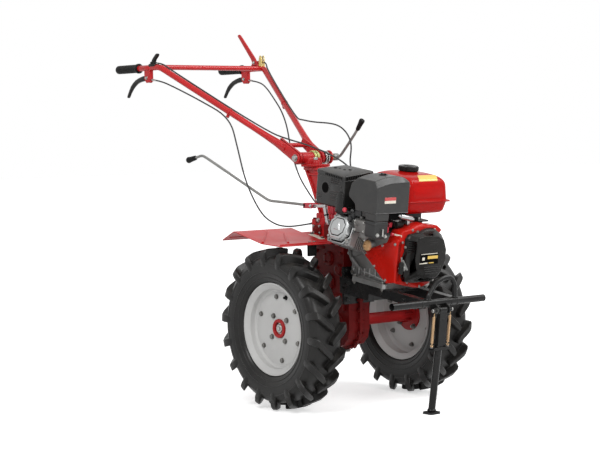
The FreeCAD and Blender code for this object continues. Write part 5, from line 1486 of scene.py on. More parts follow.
def build_fuel_tank():
    bm = bmesh.new()

    def level(inset, z, r=30.0):
        low, high = (95 + inset, -22 + inset), (325 - inset, 195 - inset)
        return [(x, y, z) for x, y in rounded_outline(low, high, r, 7)]

    stacked(bm, [level(34, 713, 20), level(24, 714, 22), level(15, 717.5, 24), level(9, 724, 26),
                 level(6.5, 732, 28), level(0.6, 757, 30), level(0, 760)])
    stacked(bm, [level(0, 761), level(0.8, 766), level(5.5, 816), level(7.5, 825, 29),
                 level(11.5, 832.5, 28), level(17.5, 839.5, 27), level(26, 845.4, 26), level(40, 851, 24),
                 level(58, 855.4, 20), level(76, 856.7, 14)])
    stacked(bm, [level(0, 758.6), level(-7, 758.8), level(-8, 760), level(-8, 762.2), level(-7, 763.2),
                 level(0, 763.4)])
    panel = rounded_outline((12, 772), (160, 816), 12, 5)
    stacked(bm, [[(324.0 - (z - 761) * 0.086, y, z) for y, z in panel],
                 [(325.6 - (z - 761) * 0.086, 86 + (y - 86) * 0.965, 794 + (z - 794) * 0.90)
                  for y, z in panel]])
    box(bm, (330, 176, 759.4), (334.5, 190, 762.6), 1.0, 1)
    lathe(bm, [(30, 0), (44, 0), (44.6, 2), (43, 4.6), (36, 5.4), (30, 5.6)], UP, (208, 85, 851.6), 48,
          closed=True)
    piece("Fuel_tank", bm, "tank", ["fuel_tank"], engine=True, smooth=40)
    bm = bmesh.new()
    rows = ((284, 851.4, 60, 150), (298.6, 845.9, 53, 144), (307.2, 840.1, 48, 139), (312.2, 834.0, 45, 136))
    for low, high in zip(rows, rows[1:]):
        corners = [(low[0], low[2], low[1]), (low[0], low[3], low[1]), (high[0], high[3], high[1]),
                   (high[0], high[2], high[1])]
        slab(bm, corners, (1.0, 0, 1.2))
    piece("Tank_plate", bm, "yellow_plate", engine=True)
    bm = bmesh.new()
    lathe(bm, [(0, 857.6), (33, 857.6), (34, 859), (36.2, 860), (37.0, 874), (35.0, 877.2), (30, 878),
               (26, 877.4), (24, 876.4), (0, 876.4)], UP, (208, 85, 0), 72)
    rib = box(bm, (208 + 34.5, 83.2, 861), (208 + 37.9, 86.8, 875.5), 0.9, 1)
    around(bm, rib, 22, UP, (208, 85, 0))
    box(bm, (186, 80.5, 876), (230, 89.5, 878), 1.0, 1)
    piece("Fuel_cap", bm, "cover_plastic", ["fuel_cap"], engine=True, smooth=32)
    bm = bmesh.new()
    for x in (138, 278):
        for y in (26, 70):
            bolt(bm, (x, y, 706), DOWN, *BRACKET_BOLT)
    lathe(bm, [(0, 700), (7, 700), (8, 702), (8, 711), (5, 714), (0, 714)], UP, (200, -2, 0), 24)
    piece("Tank_bolts", bm, "zinc", engine=True)


class TRACTOR_OT_fuel_tank(TractorOperator, bpy.types.Operator):
    """Pressed fuel tank in two glossy halves, its seam, raised panel, plate and ribbed cap"""
    bl_idname = "tractor.fuel_tank"
    bl_label = "Fuel tank"

    def execute(self, context):
        build_fuel_tank()
        return {"FINISHED"}


# ---- front frame and stand --------------------------------------------------------------------
BUMPER = Vector((505, 0, 404))
STAND_PIN = Vector((524, 0, 378))
SPRING_FOOT, SPRING_HEAD = Vector((507, 38.5, 247.5)), Vector((523, 38.5, 369.0))
COIL_R, COILED_FROM, COILED_SHARE = 4.6, 0.11, 0.78


def build_frame_details():
    bm = bmesh.new()
    for y, inside in ((-223, -219), (223, 219)):
        lathe(bm, [(10.6, y), (13.0, y), (13.0, inside), (10.6, inside)], LEFT, BUMPER, 40, closed=True)
    for y in (-85, -55, 55, 85):
        lathe(bm, [(12.6, y - 3), (14.6, y - 1.4), (14.6, y + 1.4), (12.6, y + 3)], LEFT, BUMPER,
              32, closed=True)
    for y in (-50, 80):
        lathe(bm, [(8.5, 12), (11, 12), (12.4, 14), (11, 16.4), (8.5, 16.4)], UP,
              BUMPER + LEFT * y, 24, closed=True)
    piece("Bumper_welds", bm, "black", smooth=50)
    bm = bmesh.new()
    across = sizes().wheel_bolt / MM
    for y in (-62, 62):
        for z in (390, 430, 470, 500):
            bolt(bm, (74.3, y, z), FRONT, across, 7, 10, 1.8)
    piece("Rail_plate_bolts", bm, "black")
    bm = bmesh.new()
    for side in (-1, 1):
        for x in (120, 300, 420):
            bolt(bm, (x, side * 85, 428), (0, side, 0), 12, 6, 9, 1.6)
    piece("Rail_bolts", bm, "black", engine=True)
    bm = bmesh.new()
    for y in (-70, 70):
        for x in (150, 296):
            box(bm, (x - 14, y - 13, 442), (x + 14, y + 13, 446), 1.2, 1)
        box(bm, (74, y - 15, 404), (96, y + 15, 412), 2, 1)
    piece("Rail_pads", bm, "black", engine=True)
    # Thin lighter strips on the rail tops paint the glare their up-facing flanges catch.
    bm = bmesh.new()
    for side in (-1, 1):
        low, high = sorted((side * 84, side * 58))
        box(bm, (112, low, 441.2), (470, high, 442.6), 0.5, 1)
    piece("Rail_tops_painted_glare", bm, "rail_top_painted_glare", engine=True)


class TRACTOR_OT_frame_details(TractorOperator, bpy.types.Operator):
    """Welds and end rings of the bumper bar, bolts and pads of the rails, and lighter strips on the rail
    tops that paint their glare
    """
    bl_idname = "tractor.frame_details"
    bl_label = "Frame details"

    def execute(self, context):
        build_frame_details()
        return {"FINISHED"}


def build_stand_details():
    bm = bmesh.new()
    for side in (-1, 1):
        lathe(bm, [(0, 44 * side), (5.6, 44 * side), (6.4, 45.5 * side), (6.4, 47.5 * side),
                   (5, 48.5 * side), (0, 48.5 * side)], LEFT, STAND_PIN, 24)
        washer_ring(bm, STAND_PIN + LEFT * (side * 28.2), (0, side, 0), 6.2, 11, 1.8, 24)
    piece("Stand_pin_ends", bm, "zinc")
    bm = bmesh.new()
    for x, y in ((-12, -33), (-12, 33), (12, -33), (12, 33)):
        bolt(bm, (507 + x * 0.9, y * 0.55, 244.5), UP, 10, 5, 7, 1.2)
    lathe(bm, [(13, -2), (15.4, 0), (16.5, 3), (15.4, 6), (13, 8)], UP, (461.8, 0, 10), 32, closed=True)
    piece("Stand_bolts", bm, "black", body="stand")
    wire = sizes().spring_wire / MM / 2
    turns = sizes().spring_turns
    for side, word, nodes in ((-1, "right", []), (1, "left", ["stand_springs"])):
        low, high = (Vector((spot.x, side * spot.y, spot.z)) for spot in (SPRING_FOOT, SPRING_HEAD))
        run = high - low
        along = run.normalized()
        across_a = along.orthogonal().normalized()
        across_b = along.cross(across_a)
        points = [low + along * 1.5 + across_a * 3.0, low + along * 5 + across_a * 1.0,
                  low + along * (run.length * 0.09)]
        steps = turns * 8
        for i in range(steps + 1):
            a = i * math.pi / 4
            t = COILED_FROM + COILED_SHARE * i / steps
            points.append(low + run * t + (across_a * math.cos(a) + across_b * math.sin(a)) * COIL_R)
        points += [low + run * 0.92, high - along * 5 + across_a * 1.0, high + across_a * 2.5]
        bm = bmesh.new()
        swept(bm, points, wire, 2)
        rod(bm, low + along * 10, high - along * 12, 1.6, sides=10)
        swept(bm, [low + along * 6 + across_a * 5, low + along * 0.8 + across_a * 4.0,
                   low + along * 0.4 - across_a * 3.0, low + along * 7 - across_a * 4.0], 1.5, 3)
        piece("Stand_spring_" + word, bm, "spring", nodes, "stand", smooth=60)
    bm = bmesh.new()
    for side in (-1, 1):
        washer_ring(bm, (507, side * 38.5, 244.6), UP, 2, 5.4, 2.0, 20)
    piece("Spring_seats", bm, "dull_steel", body="stand")


class TRACTOR_OT_stand_details(TractorOperator, bpy.types.Operator):
    """Pivot pin ends, foot bolts and ring, and the coiled return springs of the front stand"""
    bl_idname = "tractor.stand_details"
    bl_label = "Stand details"

    def execute(self, context):
        build_stand_details()
        return {"FINISHED"}


# ---- fenders ----------------------------------------------------------------------------------
FENDER_FOLDS = ((-262, 617), (-190, 652), (-20, 613), (92, 607))
FENDER_SHEET = ((-262, 617), (-258, 620.2), (-196, 649.6), (-190, 651.6), (-183, 650.8),
                (-26, 614.6), (-18, 613.2), (88, 607.4), (92, 607))
FENDER_T = 3


def fender_height(x):
    """Height of the sheet's top over a place."""
    for (x0, z0), (x1, z1) in zip(FENDER_FOLDS, FENDER_FOLDS[1:]):
        if x <= x1:
            return z0 + (z1 - z0) * (x - x0) / (x1 - x0)


def fender_rib(bm, start, end, high, width=5.0):
    """A pressed rib that follows the folded sheet between two places."""
    steps = 8
    points = []
    for i in range(steps + 1):
        t = i / steps
        x, y = start[0] + (end[0] - start[0]) * t, start[1] + (end[1] - start[1]) * t
        points.append((x, y, fender_height(x) + high - width * 0.72))
    swept(bm, points, width, 4)


def fender_sheet(bm, top, y):
    xz_slab(bm, list(top) + [(x, z - FENDER_T) for x, z in reversed(top)], y)


def build_fenders():
    high = sizes().fender_rib / MM
    bm = bmesh.new()
    fender_sheet(bm, FENDER_SHEET, (112, 385))
    fender_sheet(bm, [(x, fender_height(x)) for x in (-127, -54.5)], (58.6, 113))
    fender_sheet(bm, [(-54.2, fender_height(-54.2)), (-26, 614.6), (-18, 613.2), (60, 609.0)], (64.6, 113))
    fender_rib(bm, (-150, 262), (-26, 376), high)
    fender_rib(bm, (-112, 206), (16, 290), high)
    fender_rib(bm, (-240, 130), (-240, 368), high * 0.8, 4)
    fender_rib(bm, (70, 130), (70, 368), high * 0.8, 4)
    box(bm, (-46, 66, 592), (-6, 69, 612), 0.8, 1)
    box(bm, (18, 66, 590), (50, 69, 608), 0.8, 1)
    mirrored_copy(bm, list(bm.verts))
    piece("Fenders", bm, "paint", ["fenders"], smooth=28, rounding=0.7)
    bm = bmesh.new()
    made = xz_slab(bm, [(46, 560), (56, 560), (56, 606), (46, 606)], (188, 226), 2.0)
    made += box(bm, (40, 184, 603), (64, 230, 606), 0.8, 1)
    mirrored_copy(bm, made)
    piece("Fender_flaps", bm, "grip_rubber")
    bm = bmesh.new()
    made = []
    for x, y in ((-38, 84), (30, 84), (-100, 84), (52, 196), (52, 218)):
        made += bolt(bm, (x, y, fender_height(x) - 0.4), UP, 11, 4.6, 8, 1.4)
    mirrored_copy(bm, made)
    piece("Fender_bolts", bm, "bolt_steel")
    bm = bmesh.new()

    def patch(x0, x1, y0, y1):
        slab(bm, [(x, y, fender_height(x) + 0.25) for x, y in ((x0, y0), (x1, y0), (x1, y1), (x0, y1))],
             (0, 0, 0.5))

    patch(-91, -21, -108, -80)
    patch(-91, -21, 80, 108)
    piece("Fender_plates", bm, "plate")


class TRACTOR_OT_fenders(TractorOperator, bpy.types.Operator):
    """Folded sheet fenders with pressed ribs, brackets, rubber flaps, bolts and blank plates"""
    bl_idname = "tractor.fenders"
    bl_label = "Fenders"

    def execute(self, context):
        build_fenders()
        return {"FINISHED"}


# ---- handlebar ----------------------------------------------------------------------------------
PIVOT = Vector((-213, 0, 917))
BEND = Vector((-835, 265, 1289))
NECK = Vector((-235, 48, 930))
TURNTABLE_X = -173
RELEASE_LEVERS = ((-918, -1), (-964, 1))        # place along the grip, and side


def on_bar(t, side=1, lift=0.0):
    """Point on a handlebar's sloping run, and how far above its middle."""
    run = (NECK - BEND).normalized()
    up = (UP - run * run.z).normalized()
    spot = BEND + (NECK - BEND) * t + up * lift
    return Vector((spot.x, spot.y * side, spot.z))


def build_column():
    bm = bmesh.new()
    xz_slab(bm, [(-208, 882.7), (-119, 882.7), (-100, 800), (-58, 684), (-116, 684), (-167, 802)],
            (-22, 22), 6, 3, 0.4)
    for side in (-1, 1):
        for rib in (((-203, 874), (-162, 800), (-113, 692)), ((-126, 874), (-108, 800), (-66, 692))):
            outline = [(x - 5, z) for x, z in rib] + [(x + 5, z) for x, z in reversed(rib)]
            xz_slab(bm, outline, sorted((side * 20, side * 29)), 2)
        xz_slab(bm, [(-190, 850), (-122, 850), (-120, 858), (-194, 858)], sorted((side * 20, side * 28)), 2)
        xz_slab(bm, [(-150, 770), (-98, 770), (-96, 778), (-154, 778)], sorted((side * 20, side * 28)), 2)
    box(bm, (-128, -30, 684), (-52.5, 30, 696), 3, 2)
    box(bm, (-212, -30, 870), (-114, 30, 882.6), 3, 2)
    piece("Column", bm, "paint", ["handlebar_column"], smooth=35)
    bm = bmesh.new()
    lathe(bm, [(0, 883), (52.5, 883), (54, 884.5), (54, 890.5), (52.5, 892), (0, 892)], UP,
          (TURNTABLE_X, 0, 0), 64)
    tooth = box(bm, (TURNTABLE_X + 51, -2.4, 884), (TURNTABLE_X + 55.6, 2.4, 891), 0.8, 1)
    around(bm, tooth, 30, UP, (TURNTABLE_X, 0, 0))
    box(bm, (-225, -36, 888), (TURNTABLE_X, 36, PIVOT.z), 6, 3)
    lathe(bm, [(9.2, -44), (20.6, -44), (22, -42.6), (22, 42.6), (20.6, 44), (9.2, 44)], LEFT,
          PIVOT, 56, closed=True)
    rod(bm, (TURNTABLE_X, 0, 890), (TURNTABLE_X, 0, 908), 20, 17, 32, 2)
    piece("Turntable", bm, "head_red", ["handlebar_turntable"], smooth=35)
    bm = bmesh.new()
    lathe(bm, [(0, -76), (7.6, -76), (9, -74.4), (9, 143), (7.6, 144), (0, 144)], LEFT, PIVOT, 40)
    for y, radius in ((68, 27), (82, 25)):
        lathe(bm, [(9, y), (radius - 3, y), (radius - 2, y + 0.8), (radius - 2, y + 5.2),
                   (radius - 3, y + 6), (9, y + 6)], LEFT, PIVOT, 56, closed=True)
        tooth = box(bm, PIVOT + Vector((radius - 3.4, y + 0.6, -1.3)),
                    PIVOT + Vector((radius, y + 5.4, 1.3)), 0.5, 1)
        around(bm, tooth, 32, LEFT, PIVOT)
    bolt(bm, PIVOT + Vector((0, -67.6, 0)), RIGHT, 19, 8, 14, 2.4)
    rod(bm, (TURNTABLE_X, 0, 908), (TURNTABLE_X, 0, 918), 9.5, 9.5, 6, 1)
    piece("Pivot_shaft", bm, "zinc", ["pivot_shaft"], smooth=32)
    bm = bmesh.new()
    lathe(bm, [(9, 96), (26, 96), (27, 97), (27, 101), (26, 102), (9, 102)], LEFT, PIVOT, 56, closed=True)
    piece("Lock_disc", bm, "paint", smooth=32)
    bm = bmesh.new()
    for y in (12, 26):
        lathe(bm, [(22.1, y), (25.2, y), (26, y + 1), (26, y + 9), (25.2, y + 10), (22.1, y + 10)], LEFT,
              PIVOT, 48, closed=True)
        tooth = box(bm, (PIVOT.x + 25.4, y + 1.5, 915.4), (PIVOT.x + 27.4, y + 8.5, 918.6), 0.6, 1)
        around(bm, tooth, 24, LEFT, PIVOT)
    lathe(bm, [(9.1, 104), (16, 104), (17, 105.5), (17, 112.5), (15, 114), (9.1, 114)], LEFT, PIVOT, 6,
          closed=True)
    box(bm, PIVOT + Vector((-60, 60, 10)), PIVOT + Vector((-44, 64, 46)), 2, 2)
    piece("Lock_nut", bm, "passivated", smooth=32)
    bm = bmesh.new()
    back = BEND - NECK
    back.y = 0
    for side in (-1, 1):
        for t in (0.30, 0.62, 0.86):
            spot = PIVOT + back.normalized() * 125 * t
            bolt(bm, (spot.x, side * 60.2, spot.z), (0, side, 0), 13, 6.5, 9.5, 1.8)
    piece("Yoke_bolts", bm, "zinc", body="handlebar")
    bm = bmesh.new()
    for side in (-1, 1):
        for t in (0.93, 0.985):
            washer_ring(bm, on_bar(t, side), on_bar(1, side) - on_bar(0, side), 11, 15.4, 3.2)
    piece("Bar_welds", bm, "paint", body="handlebar", smooth=60)
    bm = bmesh.new()
    run = (NECK - BEND).normalized()
    tall = Vector((-run.z, 0, run.x)).normalized()
    for side in (-1, 1):
        stations = [(on_bar(0.72, side), 12.3, 12.3), (on_bar(0.80, side), 13.6, 12.4),
                    (on_bar(0.87, side), 17.0, 11.0), (Vector((-286, side * 68.0, 959)), 20.0, 8.6),
                    (Vector((-256, side * 64.6, 942)), 21.5, 5.6),
                    (Vector((-226, side * 63.9, 924.5)), 21.5, 3.8),
                    (Vector((-210, side * 63.9, 915.5)), 20.5, 3.6),
                    (Vector((-199, side * 63.9, 909)), 14.5, 3.4),
                    (Vector((-194.5, side * 63.9, 906.5)), 8.0, 3.0)]
        wide = Vector((0, side, 0))
        turns = [i * math.pi / 10 for i in range(20)]
        stacked(bm, [[centre + tall * up * math.sin(a) + wide * out * math.cos(a) for a in turns]
                     for centre, up, out in stations])
    piece("Bar_ends", bm, "paint", body="handlebar", smooth=50)


class TRACTOR_OT_column(TractorOperator, bpy.types.Operator):
    """Ribbed column casting, the turntable, the yoke's bolts and the toothed lock discs"""
    bl_idname = "tractor.column"
    bl_label = "Column and pivot"

    def execute(self, context):
        build_column()
        return {"FINISHED"}


def build_clamp_lever():
    y = 134
    bm = bmesh.new()
    swept(bm, [(-209, y, 917), (-196, y, 917), (-182, y, 922), (-150, y, 952), (-120, y, 981),
               (-85, y, 1015), (-63, y, 1041)], 5.4, 6)
    lathe(bm, [(9.2, 116), (13, 116), (14, 117.2), (14, 142.8), (13, 144), (9.2, 144)], LEFT, PIVOT, 36,
          closed=True)
    piece("Clamp_lever", bm, "rod_steel", ["clamp_lever"], smooth=40)
    bm = bmesh.new()
    lathe(bm, [(0, -22), (6.8, -22), (8.4, -18), (9.0, -6), (9.8, 8), (11.2, 18), (11.4, 22), (9.6, 26.4),
               (5.5, 28.6), (0, 29.2)], UP, steps=32)
    placed(bm, list(bm.verts), (-65, y, 1038.5), (16, 0, 20))
    piece("Clamp_knob", bm, "grip_rubber")


class TRACTOR_OT_clamp_lever(TractorOperator, bpy.types.Operator):
    """Bent clamp lever with its hub and black knob"""
    bl_idname = "tractor.clamp_lever"
    bl_label = "Clamp lever"

    def execute(self, context):
        build_clamp_lever()
        return {"FINISHED"}


def build_grips():
    bm = bmesh.new()
    profile = [(0, -1148), (9, -1147.6), (14.5, -1145), (17.2, -1140), (17.5, -1134)]
    count = sizes().grip_ribs
    first, last = -1128.0, -1004.0
    pitch = (last - first) / count
    for i in range(count):
        x = first + i * pitch
        profile += [(17.5, x), (17.5, x + pitch * 0.55), (16.2, x + pitch * 0.68), (16.2, x + pitch * 0.9)]
    profile += [(17.5, last), (17.5, -996), (20.2, -994), (20.5, -991), (20.5, -986.5), (19, -985),
                (12.05, -985)]
    made = lathe(bm, profile, FRONT, (0, BEND.y, BEND.z), 40)
    mirrored_copy(bm, made)
    piece("Grips", bm, "grip_rubber", ["grips"], "handlebar", smooth=40)


class TRACTOR_OT_grips(TractorOperator, bpy.types.Operator):
    """Ribbed rubber grips with their collars"""
    bl_idname = "tractor.grips"
    bl_label = "Grips"

    def execute(self, context):
        build_grips()
        return {"FINISHED"}


def build_hand_levers():
    bm = bmesh.new()
    for x, side in RELEASE_LEVERS:
        y = side * BEND.y
        cheeks(bm, [(x - 19, 1289), (x + 21, 1289), (x + 21, 1246), (x + 12, 1228), (x - 6, 1228),
                    (x - 19, 1244)], y, (-9, 6.5), 2.5, 0.8, 1)
        xz_slab(bm, [(x + 14, 1285), (x + 21.5, 1285), (x + 21.5, 1232), (x + 14, 1232)], (y - 8, y + 8),
                1.0, 1)
        box(bm, (x - 19, y - 15, 1280), (x + 21, y + 15, 1298), 5, 3)
    piece("Lever_brackets", bm, "paint", ["lever_brackets"], "handlebar", smooth=35)
    bm = bmesh.new()
    for x, side in RELEASE_LEVERS:
        y = side * BEND.y
        outline = [(x + 6, 1258), (x - 20, 1258), (x - 42, 1256), (x - 68, 1250), (x - 92, 1242),
                   (x - 112, 1231), (x - 128, 1218), (x - 142, 1200), (x - 154, 1182), (x - 158, 1175),
                   (x - 155.5, 1170.5), (x - 150, 1170), (x - 146, 1173), (x - 134, 1189), (x - 116, 1206),
                   (x - 100, 1217), (x - 84, 1225.5), (x - 62, 1232), (x - 40, 1235), (x - 20, 1236),
                   (x + 6, 1236)]
        xz_slab(bm, outline, (y - 5.4, y + 5.4), 2.4, 2, 0.9)
    piece("Release_levers", bm, "cover_plastic", ["release_levers"], "handlebar", smooth=40)
    bm = bmesh.new()
    for x, side in RELEASE_LEVERS:
        y = side * BEND.y
        for facing in (-1, 1):
            bolt(bm, (x - 2, y + facing * 9, 1248), (0, facing, 0), *LEVER_BOLT)
        z = 1241 + side
        rod(bm, (x + 20, y, z), (x + 40, y + 1.0 * side, z - 2), 4.6, 4.2, 6)
        rod(bm, (x + 40, y, z - 2), (x + 52, y - 1.0 * side, z - 4), 4.2, 3.4, 16)
    piece("Release_adjusters", bm, "zinc", body="handlebar")
    bm = bmesh.new()
    x, y, z = -898, BEND.y, BEND.z
    outline = [(x, z + 12), (x + 28, z + 12), (x + 14, z + 30), (x + 3, z + 46), (x - 96, z + 147),
               (x - 104, z + 152), (x - 111, z + 150.5), (x - 114, z + 145), (x - 22, z + 42),
               (x - 14, z + 28)]
    xz_slab(bm, outline, (y - 4.4, y + 4.4), 1.8, 2, 0.9)
    box(bm, (x - 14, y - 11, z + 2), (x + 36, y + 11, z + 19), 4, 3)
    cheeks(bm, [(x - 10, z + 8), (x + 30, z + 8), (x + 20, z + 34), (x - 4, z + 34)], y, (-11, 8.5),
           2.5, 0.8, 1)
    piece("Clutch_lever", bm, "paint", ["clutch_lever"], "handlebar", smooth=35)
    bm = bmesh.new()
    for facing in (-1, 1):
        bolt(bm, (x + 8, y + facing * 11, z + 26), (0, facing, 0), *LEVER_BOLT)
    piece("Clutch_lever_bolts", bm, "zinc", body="handlebar")
    bm = bmesh.new()
    cheeks(bm, [(-858, z + 2), (-838, z + 2), (-838, z + 38), (-843, z + 55), (-852, z + 55),
                (-858, z + 40)], y, (-9.5, 6.5), 3, 1.0, 1)
    xz_slab(bm, [(-853, z + 8), (-841, z + 8), (-841, z + 30), (-853, z + 30)], (y - 8, y + 8), 1.5, 1)
    rod(bm, (-848, y - 10, z + 46), (-848, y + 10, z + 46), 3.4, sides=16)
    rod(bm, (-846, y, z + 26), (-832, y, z + 28), 4.6, 4.0, 6)
    piece("Clutch_latch", bm, "brass", ["clutch_latch"], "handlebar")
    bm = bmesh.new()
    swept(bm, [(-856, y, z + 14), (-880, y + 6, z + 22), (-872, y + 6, z + 44), (-846, y + 2, z + 54),
               (-836, y, z + 36), (-842, y, z + 18)], 1.6, 3)
    piece("Latch_loop", bm, "zinc", body="handlebar")
    bm = bmesh.new()
    y = -BEND.y
    box(bm, (-902, y - 13, z + 2), (-856, y + 13, z + 16), 5, 3)
    lathe(bm, [(0, 0), (13.5, 0), (14, 1), (14, 6), (12.5, 8), (0, 8)], UP, (-880, y, z + 15.5), 32)
    xz_slab(bm, [(-890, z + 22), (-870, z + 22), (-862, z + 33), (-846, z + 45), (-843, z + 52),
                 (-849, z + 56), (-858, z + 53), (-880, z + 36)], (y - 6, y + 6), 1.6, 2, 0.8)
    piece("Throttle_lever", bm, "cover_plastic", ["throttle_lever"], "handlebar")
    bm = bmesh.new()
    screw(bm, (-880, y, z + 23.5), UP, 4.4, 2.2)
    rod(bm, (-857, y, z + 15), (-846, y, z + 15), 4.4, 3.6, 12)
    piece("Throttle_screws", bm, "zinc", body="handlebar")


class TRACTOR_OT_hand_levers(TractorOperator, bpy.types.Operator):
    """Lever brackets, wheel release levers, clutch lever, its latch and the throttle"""
    bl_idname = "tractor.hand_levers"
    bl_label = "Hand levers"

    def execute(self, context):
        build_hand_levers()
        return {"FINISHED"}


def build_gear_lever():
    y = -70.3
    bm = bmesh.new()
    swept(bm, [(-718, -190.3, 917.5), (-690, -187.2, 924), (-664, -184.6, 930), (-640, -179, 919),
               (-480, -141.5, 832), (-360, -112, 766), (-332, -105, 752), (-300, -98.5, 750),
               (-230, -81, 744), (-190, -71.5, 741), (-150, y, 738)], 5.4, 6)
    piece("Gear_lever", bm, "rod_steel", ["gear_lever"], smooth=45)
    bm = bmesh.new()
    lathe(bm, [(0, -14), (7.6, -14), (9.4, -11), (10.2, 0), (10.8, 16), (12.6, 28), (12.8, 32), (11, 36.4),
               (7, 38.6), (0, 39)], UP, steps=36)
    placed(bm, list(bm.verts), (-716, -190, 918), (-36, -4, -8))
    piece("Gear_knob", bm, "grip_rubber")
    bm = bmesh.new()
    cheeks(bm, [(-152, 726), (-104, 726), (-97, 731), (-97, 741), (-104, 747), (-152, 747)], y,
           (-12, 7), 5, 1.6, 2)
    box(bm, (-154, y - 12, 726), (-138, y + 12, 747), 3, 2)
    box(bm, (-10, -69, 706), (10, -55, 742), 4, 2)
    box(bm, (-7, -66, 640), (7, -58, 710), 2, 2)
    piece("Gear_clevis", bm, "red_knob")
    bm = bmesh.new()
    xz_slab(bm, [(-112, 731), (-38, 731), (-34, 734), (-34, 739), (-38, 742), (-112, 742)], (y - 4, y + 4),
            1.5, 2)
    for x, half in ((-106, 12), (-38, 4)):
        for side in (-1, 1):
            bolt(bm, (x, y + side * half, 736.5), (0, side, 0), 9, 4.4, 6.6, 1.4)
    rod(bm, (-160, y, 737), (-150, y, 737), 7.5, 7.5, 6, 0.8)
    rod(bm, (-24, -80, 742), (-22, -80, 733), 9.4, 9.4, 28, 1.5)
    rod(bm, (-22, -80, 733), (-11, -80, 686), 8.4, 7.6, 28)
    rod(bm, (-11, -80, 686), (-7, -78, 668), 9.0, 8.6, 28, 1)
    rod(bm, (-34, -75, 737), (-24, -80, 737), 6, 6, 16)
    piece("Gear_link", bm, "bright_alloy")
    bm = bmesh.new()
    washer_ring(bm, (-15.6, -80, 706), (11, 0, -47), 7.9, 9.6, 5, 28)
    piece("Gear_link_band", bm, "grip_rubber")
    bm = bmesh.new()
    box(bm, (-106, -58, 664), (-60, -30.5, 709), 5, 3)
    box(bm, (-88, -60.5, 652), (-52, -30.5, 690), 4, 2)
    rod(bm, (-83, -58, 694), (-83, -61, 694), 12, 11, 28, 1)
    piece("Selector_housing", bm, "head_red", smooth=40)
    bm = bmesh.new()
    bolt(bm, (-86, -61, 682), RIGHT, *BRACKET_BOLT)
    piece("Selector_bolt", bm, "zinc")


class TRACTOR_OT_gear_lever(TractorOperator, bpy.types.Operator):
    """Long selector rod with its knob, clevis, link and lower arm"""
    bl_idname = "tractor.gear_lever"
    bl_label = "Gear lever"

    def execute(self, context):
        build_gear_lever()
        return {"FINISHED"}


# Each cable's route, then up to where it moves with the handlebar and from where it stays with
# the chassis, in metres with the axle above x = 0.
CABLE_ROUTES = {
    "cable_release_right": (
        ((-0.8951, -0.265, 1.240), (-0.838, -0.262, 1.234), (-0.767, -0.240, 1.205),
         (-0.652, -0.200, 1.150), (-0.511, -0.156, 1.078), (-0.465, -0.156, 0.960),
         (-0.421, -0.152, 0.822), (-0.353, -0.132, 0.700), (-0.300, -0.106, 0.661),
         (-0.250, -0.086, 0.652), (-0.195, -0.060, 0.658), (-0.1369, -0.045, 0.668)),
        (-0.52, -0.160, 1.072), (-0.30, -0.106, 0.661)),
    "cable_release_left": (
        ((-0.9411, 0.265, 1.242), (-0.871, 0.262, 1.234), (-0.800, 0.246, 1.212), (-0.700, 0.212, 1.158),
         (-0.596, 0.172, 1.102), (-0.550, 0.162, 1.036), (-0.510, 0.142, 0.965), (-0.400, 0.092, 0.850),
         (-0.310, 0.068, 0.784), (-0.215, 0.056, 0.712), (-0.1369, 0.045, 0.672)),
        (-0.596, 0.172, 1.102), (-0.215, 0.056, 0.712)),
    "cable_throttle": (
        ((-0.8557, -0.265, 1.306), (-0.818, -0.262, 1.303), (-0.7968, -0.2402, 1.2781),
         (-0.3648, -0.0840, 1.0196), (-0.234, -0.070, 0.986), (-0.198, -0.044, 0.974),
         (-0.098, -0.034, 0.947), (-0.015, -0.030, 0.919), (0.033, -0.026, 0.897),
         (0.095, -0.014, 0.850), (0.116, -0.010, 0.760), (0.1348, -0.010, 0.7019)),
        (-0.234, -0.070, 0.986), (0.033, -0.026, 0.897)),
    "cable_clutch": (
        ((-0.8368, 0.265, 1.318), (-0.812, 0.262, 1.310), (-0.7912, 0.2491, 1.2823),
         (-0.4372, 0.1211, 1.0705), (-0.400, 0.118, 1.066), (-0.322, 0.116, 1.055),
         (-0.223, 0.116, 1.050), (-0.166, 0.116, 1.039), (-0.127, 0.116, 1.016), (-0.103, 0.116, 0.988),
         (-0.091, 0.114, 0.954), (-0.104, 0.112, 0.890), (-0.060, 0.106, 0.800), (0.060, 0.085, 0.748),
         (0.1344, 0.070, 0.6989)),
        (-0.400, 0.118, 1.066), (-0.060, 0.106, 0.800))}


def build_cables():
    radius = sizes().cable / MM / 2
    for name, (route, start, end) in CABLE_ROUTES.items():
        bm = bmesh.new()
        swept(bm, [Vector(p) / MM for p in route], radius, 5)
        shift = Vector((AXLE_X * MM, 0, 0))
        piece(name.capitalize(), bm, "cable_skin", [name], smooth=70,
              blend=("handlebar", "chassis", Vector(start) + shift, Vector(end) + shift))
    bm = bmesh.new()
    for tip, direction in (((-138.5, -45, 668), (-1, 0.1, -0.15)), ((-138.5, 45, 672), (-1, 0.1, 0.5)),
                           ((134.8, -10, 701.9), (-0.1, 0, 1)), ((134.4, 70, 698.9), (-0.4, 0.1, 0.5))):
        tip, away = Vector(tip), Vector(direction).normalized()
        rod(bm, tip, tip + away * 16, 5.0, 4.2, 6)
        rod(bm, tip + away * 16, tip + away * 28, 4.2, 3.6, 16)
    piece("Cable_ends", bm, "zinc")
    bm = bmesh.new()
    for side, t in ((-1, 0.52), (1, 0.42)):
        run = on_bar(1, side) - on_bar(0, side)
        washer_ring(bm, on_bar(t, side), run, 12.05, 14, 10, 28)
        washer_ring(bm, on_bar(t, side, -19), run, 3.1, 6.0, 9, 20)
        rod(bm, on_bar(t, side, -12), on_bar(t, side, -15.5), 3, 3, 12)
    piece("Cable_clips", bm, "paint", body="handlebar")


class TRACTOR_OT_cables(TractorOperator, bpy.types.Operator):
    """Control cables with their end ferrules and clips"""
    bl_idname = "tractor.cables"
    bl_label = "Cables"

    def execute(self, context):
        build_cables()
        return {"FINISHED"}


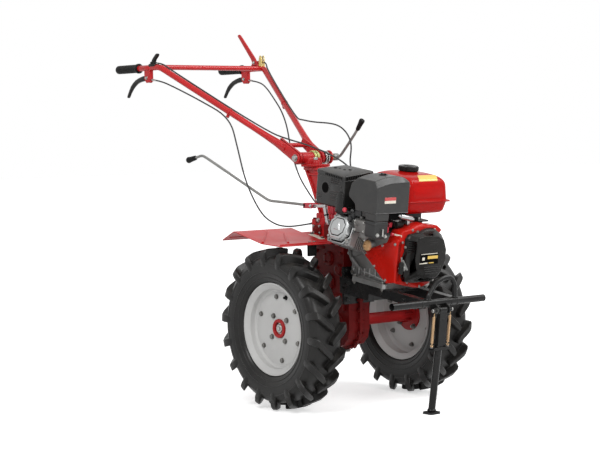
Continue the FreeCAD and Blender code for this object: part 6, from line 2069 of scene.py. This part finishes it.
# ---- panel and registration -----------------------------------------------------------------------
class TRACTOR_PT_panel(bpy.types.Panel):
    """Pieces of the two-wheel tractor"""
    bl_label = "Two-wheel tractor"
    bl_idname = "TRACTOR_PT_panel"
    bl_space_type = "VIEW_3D"
    bl_region_type = "UI"
    bl_category = "Tractor"

    def draw(self, context):
        layout = self.layout
        for group in (context.scene.tractor_sizes, context.scene.tractor_colours,
                      context.scene.tractor_camera):
            column = layout.column(align=True)
            for name in group.bl_rna.properties.keys():
                if name not in ("rna_type", "name"):
                    column.prop(group, name)
        column = layout.column(align=True)
        for operator in OPERATORS:
            column.operator(operator.bl_idname)


OPERATORS = (
    TRACTOR_OT_finishes, TRACTOR_OT_stage, TRACTOR_OT_tyres, TRACTOR_OT_wheel_hardware,
    TRACTOR_OT_gearbox_details, TRACTOR_OT_hitch_details, TRACTOR_OT_crankcase_details,
    TRACTOR_OT_cylinder_details, TRACTOR_OT_rocker_cover, TRACTOR_OT_fan_shroud,
    TRACTOR_OT_recoil_starter, TRACTOR_OT_muffler, TRACTOR_OT_air_cleaner, TRACTOR_OT_intake,
    TRACTOR_OT_fuel_tank, TRACTOR_OT_frame_details, TRACTOR_OT_stand_details, TRACTOR_OT_fenders,
    TRACTOR_OT_column, TRACTOR_OT_clamp_lever, TRACTOR_OT_grips, TRACTOR_OT_hand_levers,
    TRACTOR_OT_gear_lever, TRACTOR_OT_cables)
CLASSES = (TractorSizes, TractorColours, TractorCamera, *OPERATORS, TRACTOR_PT_panel)


def register():
    for item in CLASSES:
        bpy.utils.register_class(item)
    bpy.types.Scene.tractor_sizes = bpy.props.PointerProperty(type=TractorSizes)
    bpy.types.Scene.tractor_colours = bpy.props.PointerProperty(type=TractorColours)
    bpy.types.Scene.tractor_camera = bpy.props.PointerProperty(type=TractorCamera)


def unregister():
    del bpy.types.Scene.tractor_camera
    del bpy.types.Scene.tractor_colours
    del bpy.types.Scene.tractor_sizes
    for item in reversed(CLASSES):
        bpy.utils.unregister_class(item)


def main():
    register()
    for operator in OPERATORS:
        getattr(bpy.ops.tractor, operator.bl_idname.partition(".")[2])()


if __name__ == "__main__":
    main()
